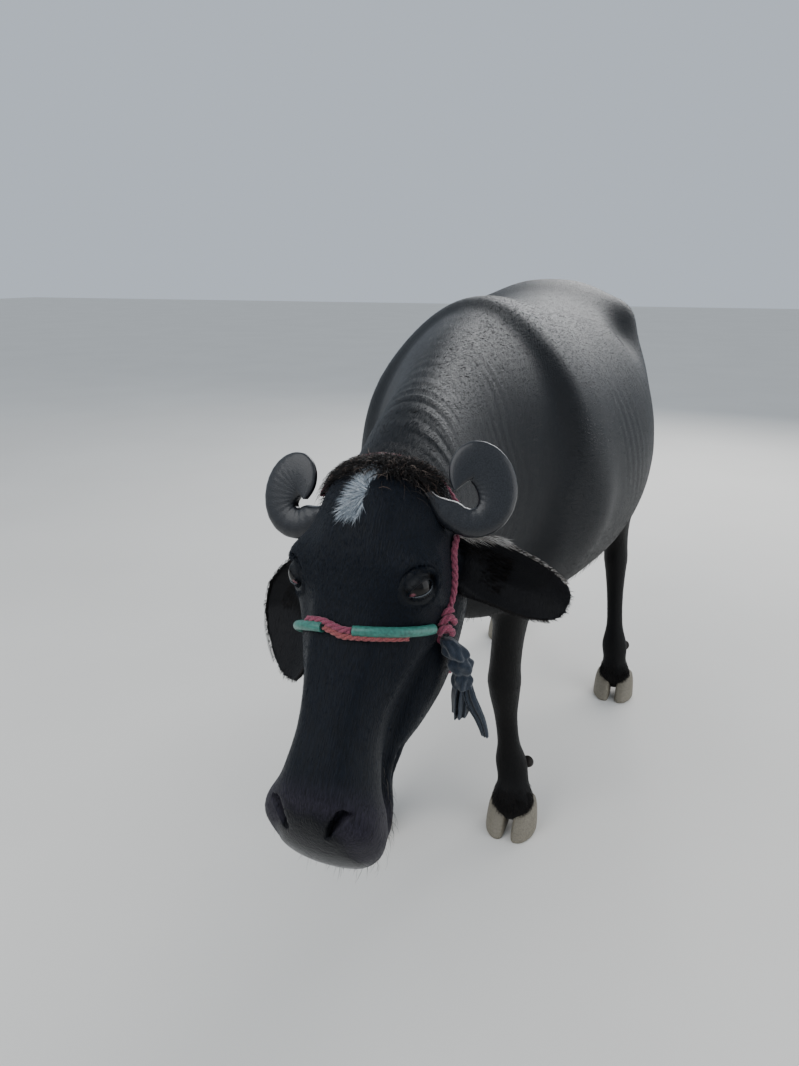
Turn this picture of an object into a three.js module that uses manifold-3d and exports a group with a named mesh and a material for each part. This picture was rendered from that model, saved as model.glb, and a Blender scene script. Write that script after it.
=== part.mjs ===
// A water buffalo cow with curled horns, standing with her head lowered, life size, in a rope halter.
// Millimetres. +X is the animal's left, +Y runs from head to rump, +Z is up from the floor.
// The body is set out from the withers: x = 0 is its midline and y = 0 the top of the shoulder.

import * as THREE from "three";
import { mergeVertices } from "three/addons/utils/BufferGeometryUtils.js";
import Module from "manifold-3d";

const wasm = await Module();
wasm.setup();

// Driving dimensions

const GAP = 0.3;
const WITHERS_HEIGHT = 1335;
const HEAD_PITCH = 55;
const HEAD_YAW = 0;
const HEAD_SPIN = -7;
const POLL = new THREE.Vector3(80, -843, 1160);
const HEAD_AXIS = -95;
const EYE_RADIUS = 19;
const CLAW_HEIGHT = 68;
const ROPE_RADIUS = 4.5;
const HOSE_RADIUS = 6.5;

// Colours and finishes

const HIDE = { color: 0x1c1d22, roughness: 0.62, metalness: 0 };
const HORN = { color: 0x2b2a2c, roughness: 0.35, metalness: 0 };
const CLAW = { color: 0x9a9284, roughness: 0.6, metalness: 0 };
const EYE = { color: 0x0c0a09, roughness: 0.08, metalness: 0 };
const HOSE = { color: 0x3f8f78, roughness: 0.45, metalness: 0 };
const RED_ROPE = { color: 0xa8324a, roughness: 0.9, metalness: 0 };
const ORANGE_ROPE = { color: 0xc4543a, roughness: 0.9, metalness: 0 };
const NAVY_CLOTH = { color: 0x27324a, roughness: 0.95, metalness: 0 };

const X_AXIS = new THREE.Vector3(1, 0, 0);

/** One cross section: its place along the form, its centre and half sizes, and how its sides draw in. */
const station = (at, middle, half, top, bottom, ridge = 1, keel = 1, shift = 0) => (
  { at, middle, half, top, bottom, ridge, keel, shift });

/** A rounded swelling, or a hollow where the height is below zero. */
const swelling = (x, y, z, wide, long, high, height) => ({ x, y, z, wide, long, high, height });

/** The same swelling on both sides of the midline. */
const bothSides = (bump) => [bump, { ...bump, x: -bump.x }];

// Torso: vertical sections from the breast to the pin bones

const TORSO = {
  sides: 26,
  steps: 24,
  stations: [
    station(-232, 800, 40, 50, 60),
    station(-205, 815, 135, 150, 130),
    station(-140, 850, 215, 320, 230),
    station(-60, 880, 262, 445, 290, 1.1),
    station(0, 885, 288, WITHERS_HEIGHT - 885, 315, 1.15),
    station(120, 880, 312, 452, 330, 1.12),
    station(300, 875, 344, 437, 350, 1.1, 0.92),
    station(480, 875, 368, 437, 366, 1.05, 0.84),
    station(640, 880, 374, 446, 368, 1, 0.84),
    station(760, 900, 356, 449, 345, 0.92, 0.88),
    station(860, 935, 338, 424, 308, 0.82, 0.95),
    station(960, 965, 311, 388, 282, 0.8),
    station(1060, 990, 264, 348, 255, 0.85),
    station(1140, 1010, 198, 298, 225, 0.9),
    station(1190, 1025, 130, 232, 170),
    station(1218, 1035, 50, 120, 90),
  ],
  relief: [
    ...bothSides(swelling(265, 855, 1275, 75, 85, 70, 34)),
    ...bothSides(swelling(245, 700, 1205, 90, 90, 80, -22)),
    ...bothSides(swelling(115, 1165, 1190, 60, 60, 60, 26)),
    ...bothSides(swelling(245, -10, 1010, 110, 150, 220, 16)),
    ...bothSides(swelling(260, 170, 900, 90, 60, 200, -14)),
  ],
};

const NECK = {
  sides: 18,
  steps: 12,
  stations: [
    station(40, 975, 185, 330, 280, 1.15, 1, 0),
    station(-100, 965, 208, 345, 290, 1.2, 1, 2),
    station(-200, 975, 188, 322, 275, 1.25, 1, 7),
    station(-300, 992, 152, 290, 240, 1.2, 1, 16),
    station(-400, 1008, 124, 252, 202, 1.15, 1, 28),
    station(-510, 1022, 107, 212, 172, 1.1, 1, 42),
    station(-640, 1030, 99, 172, 148, 1, 1, 62),
    station(-750, 1030, 94, 130, 128, 1, 1, 74),
    station(-820, 1030, 70, 95, 95, 1, 1, 80),
    station(-850, 1030, 35, 50, 50, 1, 1, 80),
  ],
  relief: [],
};

// Head: set out lying level, poll at the origin, muzzle towards -Y, forehead up

const SKULL = {
  sides: 24,
  steps: 24,
  stations: [
    station(14, -78, 34, 30, 50),
    station(0, -80, 68, 62, 85),
    station(-25, -80, 84, 84, 100, 0.85),
    station(-60, -80, 92, 97, 100, 0.8),
    station(-100, -78, 98, 98, 100, 0.8),
    station(-138, -74, 105, 89, 100, 0.8),
    station(-170, -72, 104, 78, 98, 0.85),
    station(-205, -74, 92, 71, 92, 0.85),
    station(-250, -76, 76, 67, 78, 0.85),
    station(-300, -78, 64, 65, 62, 0.85),
    station(-350, -80, 60, 66, 50, 0.85),
    station(-400, -82, 66, 70, 42, 0.8, 0.85),
    station(-432, -86, 78, 70, 42, 0.8, 0.8),
    station(-462, -92, 82, 60, 40, 0.8, 0.8),
    station(-486, -100, 70, 44, 34, 0.85, 0.85),
    station(-500, -106, 48, 26, 22),
    station(-506, -108, 20, 10, 10),
  ],
  relief: [
    ...bothSides(swelling(100, -136, -22, 34, 38, 30, 19)),
    ...bothSides(swelling(88, -190, -120, 30, 70, 45, 8)),
  ],
};

const JAW = {
  sides: 14,
  steps: 12,
  stations: [
    station(0, -150, 50, 40, 45),
    station(-40, -150, 76, 55, 68),
    station(-90, -150, 92, 60, 95),
    station(-150, -150, 98, 60, 110),
    station(-210, -148, 96, 58, 110),
    station(-260, -146, 89, 52, 100),
    station(-310, -140, 76, 42, 70),
    station(-350, -132, 62, 34, 42),
    station(-385, -128, 58, 28, 26),
    station(-425, -124, 70, 26, 26),
    station(-458, -122, 69, 24, 28),
    station(-480, -122, 50, 18, 22),
    station(-490, -122, 22, 10, 11),
  ],
  relief: [],
};

const headTurn = new THREE.Euler(
  ...[HEAD_PITCH, HEAD_SPIN, HEAD_YAW].map(THREE.MathUtils.degToRad), "ZXY");
const headPlace = new THREE.Matrix4().compose(
  POLL, new THREE.Quaternion().setFromEuler(headTurn), new THREE.Vector3(1, 1, 1));

// Legs: level sections from the body down to between the claws

const legStation = (at, x, y, half, front, back) => ({ at, x, y, half, front, back });

const FORE_LEG = [
  legStation(1060, 175, 30, 50, 120, 110),
  legStation(960, 180, 5, 78, 165, 150),
  legStation(860, 165, -10, 88, 165, 155),
  legStation(770, 142, 0, 82, 130, 145),
  legStation(690, 118, 12, 66, 100, 115),
  legStation(610, 102, 8, 52, 74, 78),
  legStation(520, 92, 0, 44, 54, 56),
  legStation(440, 88, -8, 43, 49, 48),
  legStation(395, 88, -12, 46, 52, 47),
  legStation(350, 90, -12, 41, 45, 42),
  legStation(290, 95, -12, 33, 31, 36),
  legStation(215, 105, -14, 32, 28, 38),
  legStation(160, 115, -18, 44, 36, 47),
  legStation(115, 126, -36, 43, 36, 44),
  legStation(76, 132, -60, 52, 48, 54),
  legStation(46, 133, -68, 42, 38, 46),
  legStation(24, 133, -66, 18, 16, 22),
];

const HIND_LEG = [
  legStation(1160, 180, 985, 50, 130, 130),
  legStation(1050, 195, 965, 84, 185, 190),
  legStation(930, 210, 930, 100, 210, 222),
  legStation(820, 226, 895, 102, 190, 210),
  legStation(720, 242, 872, 90, 145, 160),
  legStation(630, 253, 882, 66, 98, 102),
  legStation(550, 262, 900, 48, 62, 66),
  legStation(490, 268, 912, 42, 50, 64),
  legStation(440, 272, 905, 43, 52, 56),
  legStation(385, 277, 890, 36, 42, 42),
  legStation(310, 284, 865, 30, 31, 34),
  legStation(225, 293, 835, 30, 29, 34),
  legStation(160, 300, 812, 44, 39, 46),
  legStation(115, 306, 792, 40, 36, 42),
  legStation(76, 311, 774, 48, 45, 50),
  legStation(46, 312, 768, 41, 36, 42),
  legStation(24, 312, 768, 17, 16, 20),
];

// Each foot is set where it stands, and its leg bends to it from the shoulder or hip down

const LEG_BENDS_BELOW = 1050;
const FEET = {
  fore_left: { stations: FORE_LEG, side: 1, x: 133, y: -30 },
  hind_left: { stations: HIND_LEG, side: 1, x: 312, y: 768 },
  fore_right: { stations: FORE_LEG, side: -1, x: -222, y: -170 },
  hind_right: { stations: HIND_LEG, side: -1, x: -140, y: 1090 },
};

/** The leg's stations, turned to its side and led to its foot. */
function stationsTo({ stations, side, x, y }) {
  const foot = stations.at(-1);
  return stations.map((row) => {
    const bend = THREE.MathUtils.smoothstep(LEG_BENDS_BELOW - row.at, 0, LEG_BENDS_BELOW - foot.at);
    return { ...row, x: side * row.x + (x - side * foot.x) * bend, y: row.y + (y - foot.y) * bend };
  });
}

/** The smooth curve through four values, at t between the middle two. */
function curveThrough(a, b, c, d, t) {
  return 0.5 * (2 * b + (c - a) * t + (2 * a - 5 * b + 4 * c - d) * t * t + (3 * b - a - 3 * c + d) * t * t * t);
}

/** The sizes at a place between the stations, counted in stations. */
function sizesAt(stations, place) {
  const last = stations.length - 1;
  const k = Math.min(Math.floor(place), last - 1);
  const near = [k - 1, k, k + 1, k + 2].map((n) => stations[THREE.MathUtils.clamp(n, 0, last)]);
  const sizes = {};
  for (const name of Object.keys(stations[0])) {
    sizes[name] = curveThrough(...near.map((row) => row[name]), place - k);
  }
  return sizes;
}

/** The sizes where the form reaches a given distance along itself. */
function sizesWhere(stations, at) {
  let low = 0;
  let high = stations.length - 1;
  const falls = stations[high].at < stations[0].at;
  for (let i = 0; i < 40; i++) {
    const middle = (low + high) / 2;
    if ((sizesAt(stations, middle).at > at) === falls) low = middle;
    else high = middle;
  }
  return sizesAt(stations, low);
}

/** Height that the swellings add at a point. */
function reliefAt(point, relief) {
  let height = 0;
  for (const bump of relief) {
    const far = ((point.x - bump.x) / bump.wide) ** 2
      + ((point.y - bump.y) / bump.long) ** 2
      + ((point.z - bump.z) / bump.high) ** 2;
    height += bump.height * Math.exp(-far);
  }
  return height;
}

/** A point on a body form: turn 0 is its top, a quarter turn its left side. */
function bodyPoint(form, sizes, turn) {
  const across = Math.sin(turn);
  const rise = Math.cos(turn);
  const taper = rise > 0 ? sizes.ridge : sizes.keel;
  const reach = rise > 0 ? sizes.top : sizes.bottom;
  const point = new THREE.Vector3(
    sizes.shift + sizes.half * Math.sign(across) * Math.abs(across) ** taper, sizes.at, sizes.middle + reach * rise);
  const outward = new THREE.Vector3(across / sizes.half, 0, rise / reach).normalize();
  return point.addScaledVector(outward, reliefAt(point, form.relief));
}

/** Closed geometry over a row of rings with the same number of points, its ends closed to their centres. */
function loft(rings) {
  const sides = rings[0].length;
  const points = rings.flat();
  const index = [];
  for (let i = 0; i + 1 < rings.length; i++) {
    for (let j = 0; j < sides; j++) {
      const a = i * sides + j;
      const b = i * sides + ((j + 1) % sides);
      index.push(a, b, b + sides, a, b + sides, a + sides);
    }
  }
  for (const [ring, forward] of [[0, false], [rings.length - 1, true]]) {
    const centre = rings[ring].reduce((sum, p) => sum.add(p), new THREE.Vector3()).divideScalar(sides);
    points.push(centre);
    for (let j = 0; j < sides; j++) {
      const a = ring * sides + j;
      const b = ring * sides + ((j + 1) % sides);
      index.push(...(forward ? [a, b, points.length - 1] : [b, a, points.length - 1]));
    }
  }
  const geometry = new THREE.BufferGeometry().setFromPoints(points);
  geometry.setIndex(index);
  return facingOut(geometry);
}

/** Turns a closed geometry's faces over where they point inwards. */
function facingOut(geometry) {
  const p = geometry.attributes.position;
  const index = geometry.index.array;
  const [a, b, c] = [new THREE.Vector3(), new THREE.Vector3(), new THREE.Vector3()];
  let volume = 0;
  for (let i = 0; i < index.length; i += 3) {
    a.fromBufferAttribute(p, index[i]);
    b.fromBufferAttribute(p, index[i + 1]);
    c.fromBufferAttribute(p, index[i + 2]);
    volume += a.dot(b.cross(c));
  }
  if (volume < 0) {
    for (let i = 0; i < index.length; i += 3) [index[i], index[i + 1]] = [index[i + 1], index[i]];
  }
  return geometry;
}

/** Body form as closed geometry. */
function bodyLoft(form) {
  const rings = [];
  for (let i = 0; i <= form.steps; i++) {
    const sizes = sizesAt(form.stations, ((form.stations.length - 1) * i) / form.steps);
    const ring = [];
    for (let j = 0; j < form.sides; j++) ring.push(bodyPoint(form, sizes, (2 * Math.PI * j) / form.sides));
    rings.push(ring);
  }
  return loft(rings);
}

/** Leg as closed geometry of level sections. */
function legLoft(stations, sides, steps) {
  const rings = [];
  for (let i = 0; i <= steps; i++) {
    const sizes = sizesAt(stations, ((stations.length - 1) * i) / steps);
    const ring = [];
    for (let j = 0; j < sides; j++) {
      const turn = (2 * Math.PI * j) / sides;
      const reach = Math.cos(turn) > 0 ? sizes.front : sizes.back;
      ring.push(new THREE.Vector3(
        sizes.x + sizes.half * Math.sin(turn), sizes.y - reach * Math.cos(turn), sizes.at));
    }
    rings.push(ring);
  }
  return loft(rings);
}

/** Solid made from closed geometry. */
function solid(geometry) {
  const bare = geometry.index ? geometry : joined(geometry);
  const position = bare.attributes.position.array;
  const triVerts = new Uint32Array(bare.index.array);
  return new wasm.Manifold(new wasm.Mesh({ numProp: 3, vertProperties: new Float32Array(position), triVerts }));
}

/** Geometry whose shared corners are one point each. */
function joined(geometry) {
  const bare = geometry.clone();
  bare.deleteAttribute("normal");
  bare.deleteAttribute("uv");
  return mergeVertices(bare, 1e-4);
}

/** The same closed geometry, larger all round by the gap that touching pieces keep. */
function withGap(geometry, gap = GAP) {
  const wide = geometry.clone();
  wide.computeVertexNormals();
  const { position, normal } = wide.attributes;
  const p = new THREE.Vector3();
  const n = new THREE.Vector3();
  for (let i = 0; i < position.count; i++) {
    p.fromBufferAttribute(position, i).addScaledVector(n.fromBufferAttribute(normal, i), gap);
    position.setXYZ(i, p.x, p.y, p.z);
  }
  return wide;
}

/** Geometry of the largest closed surface of a solid. */
function largest(shape) {
  const pieces = shape.decompose().sort((a, b) => b.volume() - a.volume());
  const mesh = pieces[0].getMesh();
  const geometry = new THREE.BufferGeometry();
  geometry.setAttribute("position", new THREE.BufferAttribute(new Float32Array(mesh.vertProperties), 3));
  geometry.setIndex(new THREE.BufferAttribute(new Uint32Array(mesh.triVerts), 1));
  return geometry;
}

const model = new THREE.Group();

/** Adds a named piece of one finish. */
function addPiece(name, shape, finish) {
  const geometry = shape.isBufferGeometry ? shape : largest(shape);
  geometry.computeVertexNormals();
  const piece = new THREE.Mesh(geometry, new THREE.MeshStandardMaterial(finish));
  piece.name = name;
  model.add(piece);
  return piece;
}

const inHead = (geometry) => geometry.applyMatrix4(headPlace);

/** Closed geometry mirrored across the midline. */
function mirrored(geometry) {
  const copy = geometry.clone().scale(-1, 1, 1);
  return facingOut(copy);
}

/** The outermost point of the head at a distance from the poll, in a direction round its axis (0 is up). */
function onHead(along, degrees, lift = 0) {
  const direction = new THREE.Vector3(Math.sin(THREE.MathUtils.degToRad(degrees)), 0,
    Math.cos(THREE.MathUtils.degToRad(degrees)));
  const axis = new THREE.Vector3(0, -along, HEAD_AXIS);
  let reach = 0;
  for (const form of [SKULL, JAW]) {
    const sizes = sizesWhere(form.stations, -along);
    for (let i = 0; i < 360; i++) {
      const arm = bodyPoint(form, sizes, THREE.MathUtils.degToRad(i)).sub(axis);
      const off = arm.angleTo(direction);
      if (off < 0.02) reach = Math.max(reach, arm.length());
    }
  }
  return axis.addScaledVector(direction, reach + lift);
}

/** Round rope or tube along a route, as closed geometry. */
function ropeAlong(points, radius, steps, sides = 8) {
  const outline = new THREE.Shape();
  for (let i = 0; i < sides; i++) {
    const turn = (2 * Math.PI * i) / sides;
    if (i === 0) outline.moveTo(radius, 0);
    else outline.lineTo(radius * Math.cos(turn), radius * Math.sin(turn));
  }
  return joined(new THREE.ExtrudeGeometry(outline, { extrudePath: new THREE.CatmullRomCurve3(points), steps }));
}

/** Rings of elliptical section along a curve, with the first half size across and the second along a side way. */
function sweptRing(centre, along, side, wide, thick, sides) {
  const across = new THREE.Vector3().crossVectors(side, along).normalize();
  const ring = [];
  for (let j = 0; j < sides; j++) {
    const turn = (2 * Math.PI * j) / sides;
    ring.push(centre.clone()
      .addScaledVector(across, wide * Math.cos(turn))
      .addScaledVector(side, thick * Math.sin(turn)));
  }
  return ring;
}

// Horns: a flat band that leaves the side of the head and curls up over itself in about one turn

const HORN_LEFT = {
  middle: new THREE.Vector3(121, -24, -52),
  face: new THREE.Vector3(0.38, -0.3, 0.87),
};
const HORN_RIGHT = {
  middle: new THREE.Vector3(134, -44, -58),
  face: new THREE.Vector3(0.05, -0.34, 0.94),
};
const HORN_START = 200;
const HORN_TURN = 345;
const HORN_WIDE = 23;
const HORN_THICK = 18;

/** Horn on the left in the head's frame. */
function hornLoft({ middle, face }) {
  const flat = face.clone().normalize();
  const up = new THREE.Vector3(0, 1, 0).addScaledVector(flat, -flat.y).normalize();
  const out = new THREE.Vector3().crossVectors(up, flat);
  const rings = [];
  const steps = 20;
  for (let i = 0; i <= steps; i++) {
    const t = i / steps;
    const turn = THREE.MathUtils.degToRad(HORN_START + HORN_TURN * t);
    const wind = 1 - 0.2 * THREE.MathUtils.smoothstep(t, 0.74, 1);
    const reach = (31 + 130 * Math.max(0, 0.14 - t)) * wind;
    const rise = THREE.MathUtils.lerp(26, 43, Math.min(1, t / 0.75)) * wind;
    const centre = middle.clone()
      .addScaledVector(out, reach * Math.cos(turn))
      .addScaledVector(up, rise * Math.sin(turn))
      .addScaledVector(flat, 12 * t - 4);
    const along = out.clone().multiplyScalar(-reach * Math.sin(turn))
      .addScaledVector(up, rise * Math.cos(turn)).normalize();
    const wide = HORN_WIDE * (1 - t ** 5) + 2;
    rings.push(sweptRing(centre, along, flat, wide, THREE.MathUtils.lerp(HORN_THICK, 5, t), 10));
  }
  return loft(rings);
}

// Ears: a cupped blade, widest at its middle

const EAR_LEFT = {
  root: new THREE.Vector3(74, -86, -112),
  along: new THREE.Vector3(0.9, -0.27, -0.3),
  open: new THREE.Vector3(0.3, -0.3, 0.9),
  length: 182,
  half: 43,
  flare: 0,
};
const EAR_RIGHT = {
  root: new THREE.Vector3(-107, -110, -114),
  along: new THREE.Vector3(-0.17, -0.96, -0.16),
  open: new THREE.Vector3(-0.35, -0.15, 0.9),
  length: 186,
  half: 40,
  flare: 62,
};

/** Ear in the head's frame: half is its half width, and flare widens its outer edge below the root. */
function earLoft({ root, along, open, length, half, flare }) {
  const way = along.clone().normalize();
  const face = open.clone().addScaledVector(way, -open.dot(way)).normalize();
  const across = new THREE.Vector3().crossVectors(way, face);
  const steps = 10;
  const folds = 6;
  const rings = [];
  for (let i = 0; i <= steps; i++) {
    const t = i / steps;
    const swell = 0.5 + 0.5 * Math.sin(Math.PI * Math.min(0.5, 1.25 * t));
    const reach = half * swell * Math.sqrt(1.02 - t ** 5);
    const cup = THREE.MathUtils.lerp(30, 12, t) * Math.sqrt(1.02 - t ** 3);
    const thick = THREE.MathUtils.lerp(9, 4, t);
    const spread = flare * Math.sin(Math.PI * t ** 0.9);
    const middle = root.clone().addScaledVector(way, length * t)
      .addScaledVector(face, -14 * Math.sin(Math.PI * t));
    const front = [];
    const back = [];
    for (let j = 0; j <= folds; j++) {
      const q = (2 * j) / folds - 1;
      const side = reach * q + (spread * (1 + q)) / 2;
      const p = middle.clone().addScaledVector(across, side).addScaledVector(face, cup * q * q);
      front.push(p);
      back.unshift(p.clone().addScaledVector(face, -thick * (1 - 0.45 * q * q)));
    }
    rings.push([...front, ...back]);
  }
  return ribbon(rings);
}

/** Closed geometry over rings that fold back on themselves, its ends closed straight across the fold. */
function ribbon(rings) {
  const sides = rings[0].length;
  const index = [];
  for (let i = 0; i + 1 < rings.length; i++) {
    for (let j = 0; j < sides; j++) {
      const a = i * sides + j;
      const b = i * sides + ((j + 1) % sides);
      index.push(a, b, b + sides, a, b + sides, a + sides);
    }
  }
  for (const [ring, forward] of [[0, false], [rings.length - 1, true]]) {
    for (let j = 0; j + 1 < sides / 2; j++) {
      const [a, b] = [ring * sides + j, ring * sides + j + 1];
      const [c, d] = [ring * sides + sides - 2 - j, ring * sides + sides - 1 - j];
      index.push(...(forward ? [a, b, c, a, c, d] : [b, a, c, c, a, d]));
    }
  }
  const geometry = new THREE.BufferGeometry().setFromPoints(rings.flat());
  geometry.setIndex(index);
  return facingOut(geometry);
}

// Claws: two to a foot, flat below, with a small pair of dewclaws behind the fetlock

const CLAW_HALF = 31;
const CLAW_SPREAD = 34;

/** One claw: side is 1 for the animal's left of the pair, -1 for its right. */
function clawLoft(foot, side) {
  const rings = [];
  const rows = [
    { z: 0, half: 0.95, front: 74, back: 54, set: 0 },
    { z: 6, half: 1, front: 74, back: 58, set: 0 },
    { z: 30, half: 0.97, front: 62, back: 58, set: 3 },
    { z: 52, half: 0.9, front: 48, back: 52, set: 8 },
    { z: CLAW_HEIGHT, half: 0.78, front: 34, back: 44, set: 12 },
  ];
  for (const row of rows) {
    const ring = [];
    for (let j = 0; j < 10; j++) {
      const turn = (2 * Math.PI * j) / 10;
      const across = Math.sin(turn);
      const reach = Math.cos(turn) > 0 ? row.front : row.back;
      const inner = across * side < 0 ? 0.82 : 1;
      const half = CLAW_HALF * row.half * inner;
      ring.push(new THREE.Vector3(
        foot.x + side * CLAW_SPREAD + half * Math.sign(across) * Math.abs(across) ** 0.8
          - side * 10 * Math.max(0, Math.cos(turn)) ** 2,
        foot.y + row.set - reach * Math.cos(turn), row.z));
    }
    rings.push(ring);
  }
  return loft(rings);
}

/** One dewclaw behind the fetlock. */
function dewclawLoft(foot, side) {
  const rings = [];
  const steps = 3;
  for (let i = 0; i <= steps; i++) {
    const t = i / steps;
    const centre = new THREE.Vector3(foot.x + side * (20 + 4 * t), foot.y + 72 + 30 * t, 150 - 24 * t);
    const along = new THREE.Vector3(side * 0.1, 0.8, -0.58).normalize();
    const radius = 15 * Math.sqrt(1.04 - t * t);
    rings.push(sweptRing(centre, along, X_AXIS, radius, radius, 6));
  }
  return loft(rings);
}

// Tail, hanging straight behind the thighs

const TAIL = [
  { x: 0, y: 1130, z: 1275, r: 40 },
  { x: 0, y: 1185, z: 1262, r: 36 },
  { x: 2, y: 1228, z: 1205, r: 30 },
  { x: 4, y: 1244, z: 1110, r: 24 },
  { x: 6, y: 1246, z: 980, r: 19 },
  { x: 8, y: 1240, z: 840, r: 16 },
  { x: 6, y: 1238, z: 700, r: 14 },
  { x: 4, y: 1240, z: 570, r: 12 },
  { x: 4, y: 1242, z: 480, r: 9 },
  { x: 4, y: 1243, z: 440, r: 4 },
];

/** Tail as closed geometry. */
function tailLoft() {
  const rings = [];
  const steps = 14;
  for (let i = 0; i <= steps; i++) {
    const place = ((TAIL.length - 1) * i) / steps;
    const here = sizesAt(TAIL, place);
    const ahead = sizesAt(TAIL, Math.min(place + 0.05, TAIL.length - 1));
    const behind = sizesAt(TAIL, Math.max(place - 0.05, 0));
    const along = new THREE.Vector3(ahead.x - behind.x, ahead.y - behind.y, ahead.z - behind.z).normalize();
    rings.push(sweptRing(new THREE.Vector3(here.x, here.y, here.z), along, X_AXIS, here.r, here.r, 8));
  }
  return loft(rings);
}

// Udder: a low rounded bag with four teats

const UDDER = [
  legStation(690, 0, 880, 95, 120, 130),
  legStation(640, 0, 875, 108, 130, 125),
  legStation(590, 0, 872, 112, 128, 115),
  legStation(550, 0, 870, 102, 112, 100),
  legStation(522, 0, 868, 78, 84, 76),
  legStation(510, 0, 868, 40, 44, 40),
];
const TEAT = { length: 68, radius: 12 };

/** Udder with its teats. */
function udderSolid() {
  let bag = solid(legLoft(UDDER, 12, 6));
  for (const x of [-48, 48]) {
    for (const y of [815, 920]) {
      const profile = [];
      for (let i = 0; i <= 6; i++) {
        const t = i / 6;
        const round = i % 6 === 0 ? 0 : (1.25 - 0.35 * t) * Math.sin(Math.PI * t) ** 0.35;
        profile.push(new THREE.Vector2(TEAT.radius * round, -t * (TEAT.length + 26)));
      }
      const teat = new THREE.LatheGeometry(profile, 6).rotateX(Math.PI / 2).translate(x, y, 546);
      bag = bag.add(solid(facingOut(joined(teat))));
    }
  }
  return bag;
}

// Face: almond openings between the lids, comma-shaped nostrils and the slit of the mouth

const EYE_PLACE = new THREE.Vector3(82, -158, -30);
const EYE_LOOK = new THREE.Vector3(0.74, -0.12, 0.66);
const EYE_SLANT = new THREE.Vector3(0.55, 0.7, -0.45);
const LID_THICK = 4.5;

/** The opening between the left eye's lids, as a prism that runs out from the eye's middle. */
function lidOpening() {
  const almond = new THREE.Shape();
  almond.moveTo(-18, 0);
  almond.quadraticCurveTo(-2, 17, 18, 0);
  almond.quadraticCurveTo(2, -13, -18, 0);
  const look = EYE_LOOK.clone().normalize();
  const slant = EYE_SLANT.clone().addScaledVector(look, -EYE_SLANT.dot(look)).normalize();
  const rise = new THREE.Vector3().crossVectors(look, slant);
  const prism = joined(new THREE.ExtrudeGeometry(almond, { depth: 60, bevelEnabled: false, curveSegments: 4 }));
  prism.applyMatrix4(new THREE.Matrix4().makeBasis(slant, rise, look));
  return facingOut(prism.translate(EYE_PLACE.x, EYE_PLACE.y, EYE_PLACE.z));
}

// Left nostril: its route in from the nose, and the slit that runs out from it over the wing

const NOSTRIL = [
  { x: 40, y: -478, z: -8, r: 11 },
  { x: 39, y: -456, z: -32, r: 10 },
  { x: 36, y: -430, z: -54, r: 7 },
  { x: 33, y: -402, z: -68, r: 4 },
];
const NOSTRIL_WING = [
  { x: 29, y: -468, z: -36, r: 4 },
  { x: 36, y: -454, z: -32, r: 7 },
  { x: 45, y: -442, z: -28, r: 8 },
  { x: 58, y: -437, z: -32, r: 3 },
];

/** Tapering form along a route of places with a radius, flattened across one way. */
function taperAlong(route, flatWay, flatness, steps, sides) {
  const rings = [];
  const last = route.length - 1;
  for (let i = 0; i <= steps; i++) {
    const place = (last * i) / steps;
    const [here, ahead, behind] = [place, Math.min(place + 0.05, last), Math.max(place - 0.05, 0)]
      .map((k) => sizesAt(route, k));
    const along = new THREE.Vector3(ahead.x - behind.x, ahead.y - behind.y, ahead.z - behind.z).normalize();
    const side = flatWay.clone().addScaledVector(along, -flatWay.dot(along)).normalize();
    rings.push(sweptRing(new THREE.Vector3(here.x, here.y, here.z), along, side, here.r, here.r * flatness, sides));
  }
  return loft(rings);
}

const MOUTH = { corner: 352, front: 560, level: -122, rise: 10, open: 3, depth: 9 };

/** Half the head's width at a distance from the poll, on the level of the mouth. */
function mouthHalf(along) {
  let half = 0;
  for (const form of [SKULL, JAW]) {
    if (along > -form.stations.at(-1).at) continue;
    const sizes = sizesWhere(form.stations, -along);
    const up = MOUTH.level - sizes.middle;
    const rise = up / (up > 0 ? sizes.top : sizes.bottom);
    if (Math.abs(rise) < 1) half = Math.max(half, sizes.half * Math.sqrt(1 - rise * rise) ** sizes.keel);
  }
  return half;
}

/** The thin slit between the lips, as deep as the lips are thick. */
function mouthSlit() {
  const plate = new THREE.Shape();
  const edge = [];
  for (let i = 0; i <= 8; i++) {
    const along = THREE.MathUtils.lerp(MOUTH.corner, 488, i / 8);
    edge.push(new THREE.Vector2(Math.max(mouthHalf(along) - MOUTH.depth, 3), along));
  }
  plate.moveTo(edge[0].x, edge[0].y);
  for (const p of edge.slice(1)) plate.lineTo(p.x, p.y);
  for (const p of edge.slice().reverse()) plate.lineTo(-p.x, p.y);
  plate.lineTo(-110, MOUTH.corner);
  plate.lineTo(-110, MOUTH.front);
  plate.lineTo(110, MOUTH.front);
  plate.lineTo(110, MOUTH.corner);
  const slit = joined(new THREE.ExtrudeGeometry(plate, { depth: MOUTH.open, bevelEnabled: false }));
  const tilt = Math.atan2(MOUTH.rise, MOUTH.front - MOUTH.corner);
  slit.rotateX(Math.PI).translate(0, 0, MOUTH.level);
  return facingOut(slit.translate(0, MOUTH.front, 0).rotateX(-tilt).translate(0, -MOUTH.front, 0));
}

// Locks of longer hair: flat and tapering, each grown out of the form it stands on

/** Repeatable numbers between -1 and 1. */
function seeded(seed) {
  let state = seed;
  return () => {
    state = (state * 48271) % 2147483647;
    return (2 * state) / 2147483647 - 1;
  };
}

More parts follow.
